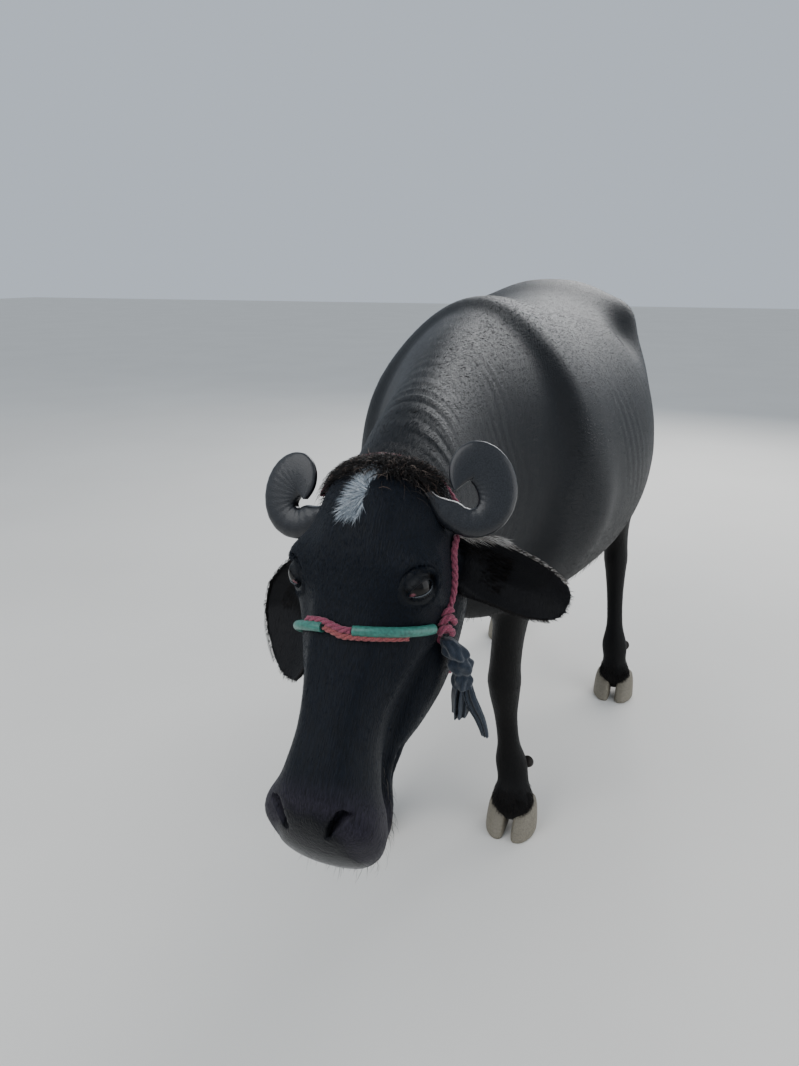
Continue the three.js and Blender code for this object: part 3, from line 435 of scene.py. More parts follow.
FORE_LEG = np.array([
    (1060, 175, 30, 50, 120, 110),
    (960, 180, 5, 78, 165, 150),
    (860, 165, -10, 88, 165, 155),
    (770, 142, 0, 82, 130, 145),
    (690, 118, 12, 66, 100, 115),
    (610, 102, 8, 52, 74, 78),
    (520, 92, 0, 44, 54, 56),
    (440, 88, -8, 43, 49, 48),
    (395, 88, -12, 46, 52, 47),
    (350, 90, -12, 41, 45, 42),
    (290, 95, -12, 33, 31, 36),
    (215, 105, -14, 32, 28, 38),
    (160, 115, -18, 44, 36, 47),
    (115, 126, -36, 43, 36, 44),
    (76, 132, -60, 52, 48, 54),
    (46, 133, -68, 42, 38, 46),
    (24, 133, -66, 18, 16, 22),
], float)
HIND_LEG = np.array([
    (1160, 180, 985, 50, 130, 130),
    (1050, 195, 965, 84, 185, 190),
    (930, 210, 930, 100, 210, 222),
    (820, 226, 895, 102, 190, 210),
    (720, 242, 872, 90, 145, 160),
    (630, 253, 882, 66, 98, 102),
    (550, 262, 900, 48, 62, 66),
    (490, 268, 912, 42, 50, 64),
    (440, 272, 905, 43, 52, 56),
    (385, 277, 890, 36, 42, 42),
    (310, 284, 865, 30, 31, 34),
    (225, 293, 835, 30, 29, 34),
    (160, 300, 812, 44, 39, 46),
    (115, 306, 792, 40, 36, 42),
    (76, 311, 774, 48, 45, 50),
    (46, 312, 768, 41, 36, 42),
    (24, 312, 768, 17, 16, 20),
], float)
UDDER = np.array([
    (690, 0, 880, 95, 120, 130),
    (640, 0, 875, 108, 130, 125),
    (590, 0, 872, 112, 128, 115),
    (550, 0, 870, 102, 112, 100),
    (522, 0, 868, 78, 84, 76),
    (510, 0, 868, 40, 44, 40),
], float)
TAIL = np.array([
    (0, 1130, 1275, 40),
    (0, 1185, 1262, 36),
    (2, 1228, 1205, 30),
    (4, 1244, 1110, 24),
    (6, 1246, 980, 19),
    (8, 1240, 840, 16),
    (6, 1238, 700, 14),
    (4, 1240, 570, 12),
    (4, 1242, 480, 9),
    (4, 1243, 440, 4),
], float)
LEG_BENDS_BELOW = 1050.0


@dataclass(frozen=True)
class Foot:
    """Where one foot stands, in the withers' frame, and the leg that comes down to it."""

    name: str
    side: int
    x: float
    y: float
    leg: Array

    def stations(self) -> Array:
        """The leg's sections, turned to its side and led to its foot."""
        rows = self.leg.copy()
        end = rows[-1]
        bend = ramp(0, LEG_BENDS_BELOW - end[0], LEG_BENDS_BELOW - rows[:, 0])
        rows[:, 1] = self.side * rows[:, 1] + (self.x - self.side * end[1]) * bend
        rows[:, 2] += (self.y - end[2]) * bend
        return rows


FEET = (
    Foot("fore_left", 1, 133.0, -30.0, FORE_LEG),
    Foot("hind_left", 1, 312.0, 768.0, HIND_LEG),
    Foot("fore_right", -1, -222.0, -170.0, FORE_LEG),
    Foot("hind_right", -1, -140.0, 1090.0, HIND_LEG),
)


def section_points(table: Array, places: Array, turns: Array) -> Array:
    """Points on a body form: an ellipse per section whose sides are drawn in by a power.

    Args:
        table: The form's sections.
        places: Where along the form, counted in sections.
        turns: Angles round it, 0 at the top and a quarter turn at the left.

    Returns:
        Points as (places, turns, 3), in the frame of the table.
    """
    rows = through(table, places)
    at, middle, half, top, bottom, ridge, keel, shift = (rows[:, n][:, None] for n in range(8))
    across, rise = np.sin(turns)[None, :], np.cos(turns)[None, :]
    taper = np.where(rise > 0, ridge, keel)
    reach = np.where(rise > 0, top, bottom)
    x = shift + half * np.sign(across) * np.abs(across) ** taper
    return np.stack([x, at + 0 * across, middle + reach * rise], axis=2)


def body_loft(table: Array, steps: int, sides: int) -> Shell:
    """Closed form over a table of cross sections."""
    return loft(section_points(table, np.linspace(0, len(table) - 1, steps), around(sides)))


def leg_loft(table: Array, steps: int, sides: int) -> Shell:
    """Closed form over level sections: half ovals of their own depth in front and behind."""
    rows = through(table, np.linspace(0, len(table) - 1, steps))
    z, x, y, half, front, back = (rows[:, n][:, None] for n in range(6))
    turns = around(sides)[None, :]
    reach = np.where(np.cos(turns) > 0, front, back)
    return loft(np.stack([x + half * np.sin(turns), y - reach * np.cos(turns), z + 0 * turns], axis=2))


def tube_frames(path: Array, up: Sequence[float]) -> tuple[Array, Array]:
    """Ways across and over a path, the second kept near a given up."""
    along = unit(np.gradient(path, axis=0))
    across = unit(np.cross(along, np.asarray(up, float)))
    return across, np.cross(across, along)


def rings_along(middle: Array, across: Array, over: Array, wide: Array, high: Array) -> Array:
    """Rings of points: each ring's middle, plus wide times its one way and high times its other.

    Args:
        middle: Middle of every ring.
        across: Way of every ring's width.
        over: Way of every ring's height.
        wide: How far each point lies across, as (rings, points round).
        high: How far each point lies over.

    Returns:
        Points as (rings, points round, 3).
    """
    return middle[:, None, :] + wide[..., None] * across[:, None, :] + high[..., None] * over[:, None, :]


def sweep(path: Array, radius: Array, up: Sequence[float], sides: int) -> Shell:
    """Closed round tube along a path.

    Args:
        path: Its middle line.
        radius: Its radius at each place.
        up: A way that is never along the path, which keeps the tube from twisting.
        sides: Points round it.

    Returns:
        The tube with both ends closed.
    """
    across, over = tube_frames(path, up)
    turns = around(sides)
    wide, high = (np.asarray(radius)[:, None] * wave for wave in (np.cos(turns), np.sin(turns)))
    return loft(rings_along(path, across, over, wide, high))


def run_of(path: Array) -> Array:
    """Length of a path up to each of its points."""
    return np.concatenate([[0], np.cumsum(np.linalg.norm(np.diff(path, axis=0), axis=1))])


def smooth_path(points: Sequence[Sequence[float]], count: int) -> Array:
    """Even places along the smooth curve through some points.

    Args:
        points: Rows of x, y and z, and of whatever else changes along the path.
        count: How many places.

    Returns:
        One row per place, with the points' own columns.
    """
    table = np.asarray(points, float)
    fine = through(table, np.linspace(0, len(table) - 1, 40 * len(table)))
    length = run_of(fine[:, :3])
    wanted = np.linspace(0, length[-1], count)
    return np.stack([np.interp(wanted, length, fine[:, n]) for n in range(fine.shape[1])], axis=1)


# Ears, in the head's frame


@dataclass(frozen=True)
class Ear:
    """One ear: a cupped blade from its root, opening towards a way of its own."""

    side: int
    root: tuple[float, float, float]
    along: tuple[float, float, float]
    opening: tuple[float, float, float]
    length: float
    half_width: float
    flare: float

    def frame(self) -> tuple[Array, Array, Array]:
        """Unit ways along the blade, out of its cup and across it."""
        way = unit(np.array(self.along))
        face = np.array(self.opening)
        face = unit(face - face @ way * way)
        return way, face, np.cross(way, face)

    def surface(self, t: Array, q: Array) -> Array:
        """Points of the cup's inner face: t runs to the tip and q from edge to edge.

        The middle line sags backwards by a sine, the edges rise by the square of q, and the outer
        edge is widened by the flare below the root.
        """
        way, face, across = self.frame()
        swell = 0.5 + 0.5 * np.sin(math.pi * np.minimum(0.5, 1.25 * t))
        half = self.half_width * swell * np.sqrt(1.02 - t**5)
        cup = lerp(30, 12, t) * np.sqrt(1.02 - t**3)
        middle = np.array(self.root) + way * (self.length * t)[..., None]
        sag = -14 * np.sin(math.pi * t) + cup * q * q
        spread = self.flare * np.sin(math.pi * np.clip(t, 0, 1) ** 0.9) * (1 + q) / 2
        return middle + across * (half * q + spread)[..., None] + face * sag[..., None]

    def shell(self) -> Shell:
        """The blade with its thickness, as a closed shell."""
        t, q = np.meshgrid(np.linspace(0, 0.985, 60), np.linspace(-1, 1, 25), indexing="ij")
        front = self.surface(t, q)
        _, face, _ = self.frame()
        thick = lerp(13, 9, t) * (1 - 0.15 * q * q)
        back = front - face * thick[..., None]
        rings = np.concatenate([front, back[:, ::-1]], axis=1)
        rows, columns, _ = rings.shape
        half = columns // 2
        j = np.arange(half - 1)
        caps = []
        for start, turned in ((0, True), ((rows - 1) * columns, False)):
            cap = start + np.stack([j, j + 1, columns - 2 - j, columns - 1 - j], axis=1)
            caps.append(cap[:, ::-1] if turned else cap)
        return facing_out(Shell(rings.reshape(-1, 3), np.concatenate([grid_faces(rows, columns), *caps])))


EARS = (
    Ear(1, (74.0, -86.0, -112.0), (0.9, -0.27, -0.3), (0.3, -0.3, 0.9), 182.0, 43.0, 0.0),
    Ear(-1, (-107.0, -110.0, -114.0), (-0.17, -0.96, -0.16), (-0.35, -0.15, 0.9), 187.0, 40.0, 66.0),
)


@dataclass(frozen=True)
class Swelling:
    """A rounded rise of the skin, or a hollow where its height is below zero."""

    place: tuple[float, float, float]
    size: tuple[float, float, float]
    height: float
    paired: bool = True

    def at(self, p: Array) -> Array:
        """Height added at points, on both sides where it is paired."""
        x, y, z = self.place
        bells = bump(p, x, y, z, *self.size)
        if self.paired:
            bells = bells + bump(p, -x, y, z, *self.size)
        return self.height * bells


BODY_RELIEF = (
    Swelling((265, 855, 1275), (75, 85, 70), 34),
    Swelling((245, 700, 1205), (90, 90, 80), -22),
    Swelling((115, 1165, 1190), (60, 60, 60), 26),
    Swelling((245, -10, 1010), (110, 170, 220), 11),
    Swelling((235, -60, 1130), (60, 50, 150), 7),
    Swelling((240, 60, 860), (90, 70, 90), 11),
    Swelling((330, 730, 760), (70, 60, 90), 10),
    Swelling((0, -180, 690), (60, 90, 80), 10, False),
    Swelling((260, 1000, 1080), (90, 60, 120), 8),
    Swelling((220, 930, 1200), (70, 70, 60), -9),
)
HEAD_RELIEF = (
    Swelling((100, -136, -22), (34, 38, 30), 19),
    Swelling((88, -190, -120), (30, 70, 45), 8),
    Swelling((70, -96, 6), (30, 30, 30), -5),
    Swelling((64, -205, -22), (22, 34, 22), -5),
    Swelling((76, -262, -66), (22, 60, 16), 5),
    Swelling((60, -330, -90), (26, 60, 24), -5),
    Swelling((44, -300, -16), (14, 90, 14), 3),
    Swelling((90, -120, -140), (30, 60, 50), 5),
    Swelling((70, -446, -56), (22, 26, 22), 6),
    Swelling((58, -478, -128), (30, 30, 14), 4),
)

# Muzzle: nostrils, mouth and the wet plate between them, in the head's frame

NOSTRIL_LINE = ((29, -466, 3.0), (34, -456, 5.5), (40, -447, 7.0), (45, -440, 7.0), (53, -437, 3.5))
MOUTH_CORNER, MOUTH_FRONT, MOUTH_LEVEL, MOUTH_RISE = 352.0, 560.0, -122.0, 10.0
LIP_HEIGHT = 22.0
OFF_NOSTRIL = -8.0


def mouth_level(along: Array) -> Array:
    """Height of the line between the lips at a distance from the poll."""
    return MOUTH_LEVEL - MOUTH_RISE * (MOUTH_FRONT - along) / (MOUTH_FRONT - MOUTH_CORNER)


def nostril_depth(local: Array) -> Array:
    """How deep in a nostril points lie: 1 on its comma-shaped middle line and 0 at its rim.

    The distance to the line's nearest place is divided by the opening's half width there.
    """
    best = np.full(len(local), np.inf)
    for x, y, radius in smooth_path(NOSTRIL_LINE, 30):
        best = np.minimum(best, np.hypot(np.abs(local[:, 0]) - x, local[:, 1] - y) / radius)
    upper = local[:, 2] > mouth_level(-local[:, 1]) + LIP_HEIGHT
    return np.where(upper, np.maximum(1 - best, OFF_NOSTRIL), OFF_NOSTRIL)


def wet_plate(local: Array) -> Array:
    """Share of wet, bare nose at points: between the nostrils and down to the lip."""
    along, across = -local[:, 1], np.abs(local[:, 0])
    width = 40 + 20 * ramp(450, 500, along) + 2.5 * np.sin(along / 3.7)
    upper = ramp(-126, -100, local[:, 2])
    front = ramp(434, 456, along + 2 * np.sin(local[:, 0] / 5))
    return front * (1 - ramp(width - 14, width + 8, across)) * upper


def head_share(body: Array) -> Array:
    """1 on the head and 0 behind the poll."""
    return 1 - ramp(-800, -740, body[:, 1])


def leg_share(body: Array) -> Array:
    """1 on the legs and 0 on the trunk."""
    return 1 - ramp(560, 860, body[:, 2])


# Skin


@dataclass
class Skin:
    """One surface over head, neck, trunk, legs, ears, tail and udder."""

    coat_depth: float = 3.0
    trunk_voxel: float = 11.0
    voxel: float = 3.3
    quick_voxel: float = 6.0
    faces: int = 190000
    top_legs: int = 8
    teats: tuple[tuple[float, float], ...] = ((-48, 815), (-48, 920), (48, 815), (48, 920))
    teat_top: float = 546.0
    teat_length: float = 92.0
    teat_radius: float = 12.0

    def trunk(self) -> Shell:
        """Neck, trunk and the tops of the legs, run together and softened where they meet."""
        shells = [body_loft(TORSO, 120, 120), body_loft(NECK, 90, 80)]
        shells += [leg_loft(foot.stations(), 120, 40) for foot in FEET]
        shells = [shell.moved(lambda p: p * MM) for shell in shells]
        piece = remesh(shells, self.trunk_voxel, "trunk_form")
        points = read_points(piece.data) / MM
        relax(piece.data, 0.55 * ramp(600, 760, points[:, 2]), 34)
        shell = Shell(read_points(piece.data) / MM, *read_faces(piece.data))
        bpy.data.objects.remove(piece)
        return shell

    def shells(self) -> list[Shell]:
        """Every closed form that the skin covers, in the withers' frame."""
        shells = [self.trunk()]
        shells += [leg_loft(foot.stations()[self.top_legs:], 90, 40) for foot in FEET]
        for table, sides in ((SKULL, 110), (JAW, 80)):
            shells.append(body_loft(table, 150, sides).moved(head_to_body))
        shells += [ear.shell().moved(head_to_body) for ear in EARS]
        shells.append(self.tail())
        shells += self.udder()
        return shells

    def tail(self) -> Shell:
        """Tail, tapering to the switch."""
        path = smooth_path(TAIL, 120)
        return sweep(path[:, :3], path[:, 3], (1, 0, 0), 24)

    def udder(self) -> list[Shell]:
        """Udder and its four teats."""
        t = np.linspace(0, 1, 24)
        radius = self.teat_radius * (1.25 - 0.35 * t) * np.maximum(np.sin(math.pi * t), 0.02) ** 0.35
        shells = [leg_loft(UDDER, 40, 48)]
        for x, y in self.teats:
            path = np.stack([x + 0 * t, y + 0 * t, self.teat_top - self.teat_length * t], axis=1)
            shells.append(sweep(path, radius, (1, 0, 0), 16))
        return shells

    def relief(self, body: Array, normals: Array) -> Array:
        """Height of muscles, bones and folds over the plain forms, less the depth that the coat fills.

        Args:
            body: Points of the withers' frame.
            normals: The surface's normals there.

        Returns:
            How far each point moves along its normal.
        """
        local = body_to_head(body)
        on_head = head_share(body)
        height = sum(s.at(body) for s in BODY_RELIEF) * (1 - on_head)
        height = height + sum(s.at(local) for s in HEAD_RELIEF) * on_head
        height += self.ribs(body) + self.neck_folds(body, normals) * (1 - on_head)
        height += self.lips(local) * on_head
        thin = 0.7 * wet_plate(local) * on_head + 0.7 * (1 - ramp(60, 160, body[:, 2]))
        thin += 0.8 * sum(ear_share(ear, local) for ear in EARS)
        return height - self.coat_depth * (1 - np.clip(thin, 0, 0.8))

    @staticmethod
    def ribs(p: Array) -> Array:
        """Faint ribs: a sine along the trunk inside a window on the sides."""
        window = ramp(120, 260, p[:, 1]) * (1 - ramp(600, 720, p[:, 1]))
        window *= ramp(700, 820, p[:, 2]) * (1 - ramp(1080, 1200, p[:, 2]))
        window *= 0.6 + 0.4 * np.sin(p[:, 1] / 71 + p[:, 2] / 97)
        return 0.55 * window * np.sin(2 * math.pi * (p[:, 1] + 0.25 * p[:, 2]) / 52)

    @staticmethod
    def neck_folds(p: Array, normals: Array) -> Array:
        """Folds of loose skin round the neck, strongest on the nape and throat."""
        window = ramp(-800, -700, p[:, 1]) * (1 - ramp(-330, -160, p[:, 1]))
        sway = 16 * np.sin(p[:, 2] / 60 + p[:, 0] / 90) + 7 * np.sin(p[:, 2] / 23 + p[:, 1] / 40)
        folds = np.sin(2 * math.pi * (p[:, 1] + sway) / 38)
        fine = np.sin(2 * math.pi * (p[:, 1] + 0.6 * sway) / 15)
        patchy = 0.5 + 0.5 * np.sin(p[:, 1] / 47 + 1.3 * np.sin(p[:, 2] / 55) + p[:, 0] / 61)
        under = ramp(0.2, 0.9, -normals[:, 2])
        nape = ramp(0.1, 0.8, normals[:, 2]) * ramp(-760, -700, p[:, 1]) * (1 - ramp(-640, -540, p[:, 1]))
        return window * patchy * ((0.35 + 1.9 * under + 0.6 * nape) * folds + (0.15 + 0.25 * nape) * fine)

    @staticmethod
    def lips(local: Array) -> Array:
        """The slit of the mouth with a rolled lip above and below it."""
        along = -local[:, 1]
        off = local[:, 2] - mouth_level(along)
        window = ramp(MOUTH_CORNER - 10, MOUTH_CORNER + 16, along)
        slit = -7.5 * np.exp(-((off / 2.6) ** 2))
        roll = 2.6 * np.exp(-(((np.abs(off) - 10) / 6) ** 2))
        return window * (slit + roll)

    @staticmethod
    def sockets(local: Array) -> Array:
        """Points pushed in behind the eyes, where the lids close over the skin's edge."""
        for side in SIDE_NAMES:
            look = EYE_LOOK * [side, 1, 1]
            near = local - EYE_PLACE * [side, 1, 1]
            out = near @ look
            far = np.linalg.norm(near - out[:, None] * look, axis=1)
            depth = (1 - ramp(17, 26, far)) * (out > -8) * np.maximum(out + 6, 0)
            local = local - look * depth[:, None]
        return local

    @staticmethod
    def nostrils(local: Array, share: Array) -> Array:
        """Points drawn back and up into the two comma-shaped nostrils."""
        depth = nostril_depth(local)
        way = unit(np.stack([-0.25 * np.sign(local[:, 0]), 0.55 + 0 * depth, -0.8 + 0 * depth], axis=1))
        return local + way * (20 * ramp(0.0, 0.8, depth) * share)[:, None]

    def build(self) -> bpy.types.Object:
        """Makes the skin: closed forms, one even surface, relief, openings, fewer faces where it is plain."""
        shells = [shell.moved(lambda p: p * MM) for shell in self.shells()]
        piece = remesh(shells, self.voxel, "skin")
        mesh = piece.data
        body = read_points(mesh) / MM
        head = head_share(body)
        relax(mesh, 0.5 - 0.2 * head, 6)
        body = read_points(mesh) / MM
        normals = read_normals(mesh)
        body = body + normals * self.relief(body, normals)[:, None]
        local = self.nostrils(self.sockets(body_to_head(body)), head)
        write_points(mesh, to_row(head_to_body(local)))
        self.thin(piece, head)
        return piece

    def thin(self, piece: bpy.types.Object, fine: Array) -> None:
        """Merges faces where the surface is plain, and keeps the head's."""
        total = 2 * len(piece.data.polygons)
        log.info("skin before thinning: %d triangles", total)
        if total <= self.faces:
            return
        group = piece.vertex_groups.new(name="plain")
        group.add(np.flatnonzero(fine < 0.5).tolist(), 1.0, "REPLACE")
        change = piece.modifiers.new("fewer", "DECIMATE")
        change.ratio = self.faces / total
        change.vertex_group = group.name
        apply_modifiers(piece)
        piece.vertex_groups.clear()


# Horns, claws and eyes


@dataclass(frozen=True)
class Horn:
    """A flat band of horn that curls up over itself, in the head's frame, given for the left."""

    side: int
    middle: tuple[float, float, float]
    face: tuple[float, float, float]
    start: float = 200.0
    turn: float = 345.0
    wide: float = 25.0
    thick: float = 16.0

    def shell(self) -> Shell:
        """Flattened ovals along a spiral: its outer edge is set out, and the band's width taken off it.

        The band is narrow where it leaves the head and broad over the top of its curl. Its growth
        ridges are a faint ripple that fades towards the tip.
        """
        flat = unit(np.array(self.face))
        up = unit(np.array([0, 1, 0]) - flat[1] * flat)
        out = np.cross(up, flat)
        t = np.linspace(0, 1, 260)
        angle = np.radians(self.start + self.turn * t)
        band = self.wide * through(np.array([[0.7], [0.68], [1.0], [1.2], [1.15]]), 4 * t)[:, 0]
        wind = 1 - 0.14 * ramp(0.74, 1, t)
        reach = (57 + 130 * np.maximum(0, 0.14 - t)) * wind - band
        rise = lerp(52, 69, np.minimum(1, t / 0.75)) * wind - band
        centre = (
            np.array(self.middle)
            + out * (reach * np.cos(angle))[:, None]
            + up * (rise * np.sin(angle))[:, None]
            + flat * (12 * t - 4)[:, None]
        )
        along = unit(-out * (reach * np.sin(angle))[:, None] + up * (rise * np.cos(angle))[:, None])
        across = unit(np.cross(flat, along))
        turns = around(56)
        ridges = np.sin(2 * math.pi * (19 * t + 3 * t * t) + 2 * np.sin(11 * t))
        ripple = 1 + (0.008 * (1 - t) + 0.001) * ridges
        ripple = ripple[:, None] + 0.008 * np.sin(3 * turns + 9 * t[:, None]) * (1 - t[:, None])
        wide = (band * (1 - t**5) * lerp(0.3, 1, ramp(0.01, 0.13, t)) + 2)[:, None] * ripple
        thick = lerp(self.thick, 5, t)[:, None] * ripple
        edge = np.sign(np.sin(turns)) * np.abs(np.sin(turns)) ** 0.62
        faces = np.broadcast_to(flat, centre.shape)
        shell = loft(rings_along(centre, across, faces, wide * np.cos(turns), thick * edge))
        return shell if self.side > 0 else shell.mirrored()


HORNS = (
    Horn(1, (121.0, -24.0, -52.0), (0.38, -0.3, 0.87)),
    Horn(-1, (134.0, -44.0, -58.0), (0.05, -0.34, 0.94), wide=30.0),
)

SIDE_NAMES = {1: "left", -1: "right"}
CLAW_HALF, CLAW_SPREAD, CLAW_HEIGHT, SOLE_EDGE = 31.0, 34.0, 68.0, 3.0
# Level sections as (z, share of the half width, front, back, how far the middle is set back)
CLAW_ROWS = np.array([
    (0, 0.95, 74, 54, 0),
    (6, 1.0, 74, 58, 0),
    (30, 0.97, 62, 58, 3),
    (52, 0.9, 48, 52, 8),
    (CLAW_HEIGHT, 0.78, 34, 44, 12),
], float)


def claw_shell(foot: Foot, side: int) -> Shell:
    """One claw: half ovals narrowed towards the cleft, with growth rings and a flat sole.

    Args:
        foot: The foot that it belongs to.
        side: The side of the foot that it stands on, 1 for the animal's left.

    Returns:
        The claw in the withers' frame.
    """
    rows = through(CLAW_ROWS, np.concatenate([[0, 0], np.linspace(1, 4, 54)]))
    rows[:2] = CLAW_ROWS[:2]
    rows[1, 0] = SOLE_EDGE
    z, half, front, back, setback = (rows[:, n][:, None] for n in range(5))
    turns = around(64)[None, :]
    across = np.sin(turns)
    reach = np.where(np.cos(turns) > 0, front, back)
    inner = np.where(across * side < 0, 0.82, 1.0)
    rings = 1 + 0.009 * np.sin(2 * math.pi * z / 7.5) * ramp(2, 12, z)
    worn = 1 - 0.03 * (1 - ramp(0, 4, z))
    width = CLAW_HALF * half * inner * rings * worn
    x = foot.x + side * CLAW_SPREAD + width * np.sign(across) * np.abs(across) ** 0.8
    x = x - side * 10 * np.maximum(0, np.cos(turns)) ** 2
    y = foot.y + setback - reach * np.cos(turns) * rings * worn
    return loft(np.stack([x, y, z + 0 * turns], axis=2))


def dewclaw_shell(foot: Foot, side: int) -> Shell:
    """One small claw behind the fetlock, blunt at its tip."""
    t = np.linspace(0, 1, 22)
    path = np.stack([foot.x + side * (20 + 4 * t), foot.y + 72 + 30 * t, 150 - 24 * t], axis=1)
    radius = 15 * np.sqrt(1.04 - t * t)
    return sweep(path, radius, (1, 0, 0), 24)


EYE_RADIUS = 19.0
EYE_PLACE = np.array([82.0, -158.0, -30.0])
EYE_LOOK = unit(np.array([0.74, -0.12, 0.66]))
EYE_SLANT = np.array([0.55, 0.7, -0.45])
EYE_SLANT = unit(EYE_SLANT - EYE_SLANT @ EYE_LOOK * EYE_LOOK)
EYE_RISE = np.cross(EYE_LOOK, EYE_SLANT)
LID_COLUMNS = 96
# Size of each ring of the lids beside the opening's, and how far it is lifted
LID_GROW = (1.0, 1.0, 1.04, 1.12, 1.24, 1.38, 1.5, 1.62, 1.78, 1.95, 2.15, 2.35)
LID_LIFT = (-1.5, 0.2, 1.1, 1.5, 1.4, 0.9, 0.5, 0.5, 0.4, 0.2, -0.6, -2.6)


def eye_point(x: Array, y: Array, z: Array) -> Array:
    """Points of the left eye's frame, towards its outer corner, up and out, in the head's frame."""
    return EYE_PLACE + x[..., None] * EYE_SLANT + y[..., None] * EYE_RISE + z[..., None] * EYE_LOOK


def eye_frame(near: Array) -> tuple[Array, Array, Array]:
    """The same three measures of points round the left eye's middle."""
    return near @ EYE_SLANT, near @ EYE_RISE, near @ EYE_LOOK


def fitted_surface(x: Array, y: Array, z: Array, px: Array, py: Array) -> Array:
    """Height of the skin round the eye at places where it has no points of its own.

    A curved face with terms up to x squared, x y and y squared is fitted to the points by least
    squares, and what the fit leaves over is added as a weighted mean of the nearest points.

    Args:
        x, y, z: The skin's points in the eye's frame.
        px, py: Where the height is wanted.

    Returns:
        Heights in the eye's frame.
    """
    far = np.hypot(x, y)
    pick = (far > 24) & (far < 44) & (z > -6)
    x, y, z = x[pick], y[pick], z[pick]
    terms = np.stack([np.ones(len(x)), x, y, x**2, x * y, y**2], axis=1)
    fit = np.linalg.lstsq(terms, z, rcond=None)[0]
    surface = fit[0] + fit[1] * px + fit[2] * py + fit[3] * px**2 + fit[4] * px * py + fit[5] * py**2
    weight = np.exp(-((px[..., None] - x) ** 2 + (py[..., None] - y) ** 2) / 20)
    return surface + (weight * (z - terms @ fit)).sum(axis=-1) / (weight.sum(axis=-1) + 0.3)


@dataclass(frozen=True)
class Eye:
    """Eyeball and lids of one side, set out on the left in the head's frame."""

    side: int
    corner: float = 18.0
    upper: float = 7.5
    lower: float = 7.0
    drop: float = 4.0

    def ball(self) -> Shell:
        """The eyeball, a sphere with its pole on the way it looks."""
        polar = np.linspace(0.02, math.pi - 0.02, 60)[:, None]
        turns = around(72)[None, :]
        radius = EYE_RADIUS * (1 + 0.035 * np.exp(-((polar / 0.5) ** 2)))
        wide = radius * np.sin(polar)
        return self.turned(loft(eye_point(
            wide * np.cos(turns), wide * np.sin(turns), radius * np.cos(polar) + 0 * turns)))

    @staticmethod
    def tone(near: Array) -> Array:
        """Colours over the eyeball: pupil, brown iris, its edge, a dark white and a pink inner corner."""
        x, y, z = eye_frame(near)
        off = np.degrees(np.arctan2(np.hypot(x, y), z))[:, None]
        pupil = 1 - ramp(0.85, 1.15, np.hypot(x / 5.4, (y + 2) / 3.4))[:, None]
        iris, edge, white, dark, pink = (
            np.array(linear(code)) for code in ("#0d0908", "#040404", "#0d0a0a", "#020202", "#7a4a52"))
        tone = lerp(iris, edge, ramp(26, 33, off))
        tone = lerp(tone, white, ramp(38, 46, off))
        tone = lerp(tone, dark, pupil)
        corner = 1 - ramp(0.6, 1.2, np.hypot((x + 14.5) / 2.8, (y + 5.5) / 2.4))[:, None]
        return lerp(tone, pink, corner)

    @staticmethod
    def lid_tone(count: int) -> Array:
        """Colours over the rings of the lids: near-black, with a painted highlight along the lower lid's wet
        rim, where it catches the light.
        """
        row, column = np.divmod(np.arange(count), LID_COLUMNS)
        turn = around(LID_COLUMNS)[column]
        # Painted highlight: a pale grey band along the lower lid's rim, standing in for the light that its
        # wet edge reflects.
        rim = np.exp(-(((row - 2) / 0.8) ** 2)) * ramp(0.1, 0.5, -np.sin(turn))
        return lerp(np.array(linear("#0a0e14")), np.array(linear("#8b9197")), 0.6 * rim[:, None])

    def turned(self, shell: Shell) -> Shell:
        """The shell on this eye's own side."""
        return shell if self.side > 0 else shell.mirrored()

    def lids(self, skin: Array) -> Shell:
        """Both lids as one rolled ring from the opening's edge out into the skin.

        Rings are almonds of growing size. Near the opening they lie on the eyeball, and further out
        on the skin.

        Args:
            skin: The skin's points in the head's frame.

        Returns:
            The lids in the head's frame.
        """
        turns = around(LID_COLUMNS)[None, :]
        grow, lift = (np.array(row)[:, None] for row in (LID_GROW, LID_LIFT))
        high = np.where(np.sin(turns) > 0, self.upper, self.lower)
        almond = 1 - 0.22 * np.cos(turns) ** 2 / grow**2
        x = self.corner * (1 + (grow - 1) * 0.62) * np.cos(turns)
        y = (high + (grow - 1) * 15) * np.sin(turns) * almond - self.drop
        on_ball = np.sqrt(np.maximum((EYE_RADIUS + 0.2) ** 2 - x**2 - y**2, 4.0))
        surface = fitted_surface(*eye_frame(skin * [self.side, 1, 1] - EYE_PLACE), x, y)
        points = eye_point(x, y, lerp(on_ball, surface, ramp(1.1, 1.9, grow)) + lift)
        rows = np.concatenate([points, points[-1:] - EYE_LOOK * 4])
        count, columns, _ = rows.shape
        shell = Shell(rows.reshape(-1, 3), grid_faces(count, columns))
        normal = np.cross(rows[4, 1] - rows[4, 0], rows[5, 0] - rows[4, 0])
        if normal @ EYE_LOOK < 0:
            shell = Shell(shell.points, shell.quads[:, ::-1])
        return self.turned(shell)


# Halter


def on_head(along: float, degrees: float, lift: float) -> Array:
    """The outermost point of the head, lifted off it.

    Args:
        along: Distance from the poll towards the muzzle.
        degrees: Direction round the head's axis, 0 at the top and 90 at the left.
        lift: Height above the skin.

    Returns:
        The point in the head's frame.
    """
    angle = math.radians(degrees)
    way = np.array([math.sin(angle), 0, math.cos(angle)])
    axis = np.array([0, -along, HEAD_AXIS])
    turns = np.radians(np.arange(0, 360, 0.5))
    reach = 0.0
    for table in (SKULL, JAW):
        place = np.interp(along, -table[:, 0], np.arange(len(table)))
        for _ in range(8):
            place += (along + through(table, np.array([place]))[0, 0]) / 30
        arms = section_points(table, np.array([place]), turns)[0] - axis
        length = np.linalg.norm(arms, axis=1)
        close = (arms @ way) / length > math.cos(0.02)
        reach = max(reach, length[close].max(initial=0))
    return axis + way * (reach + lift)


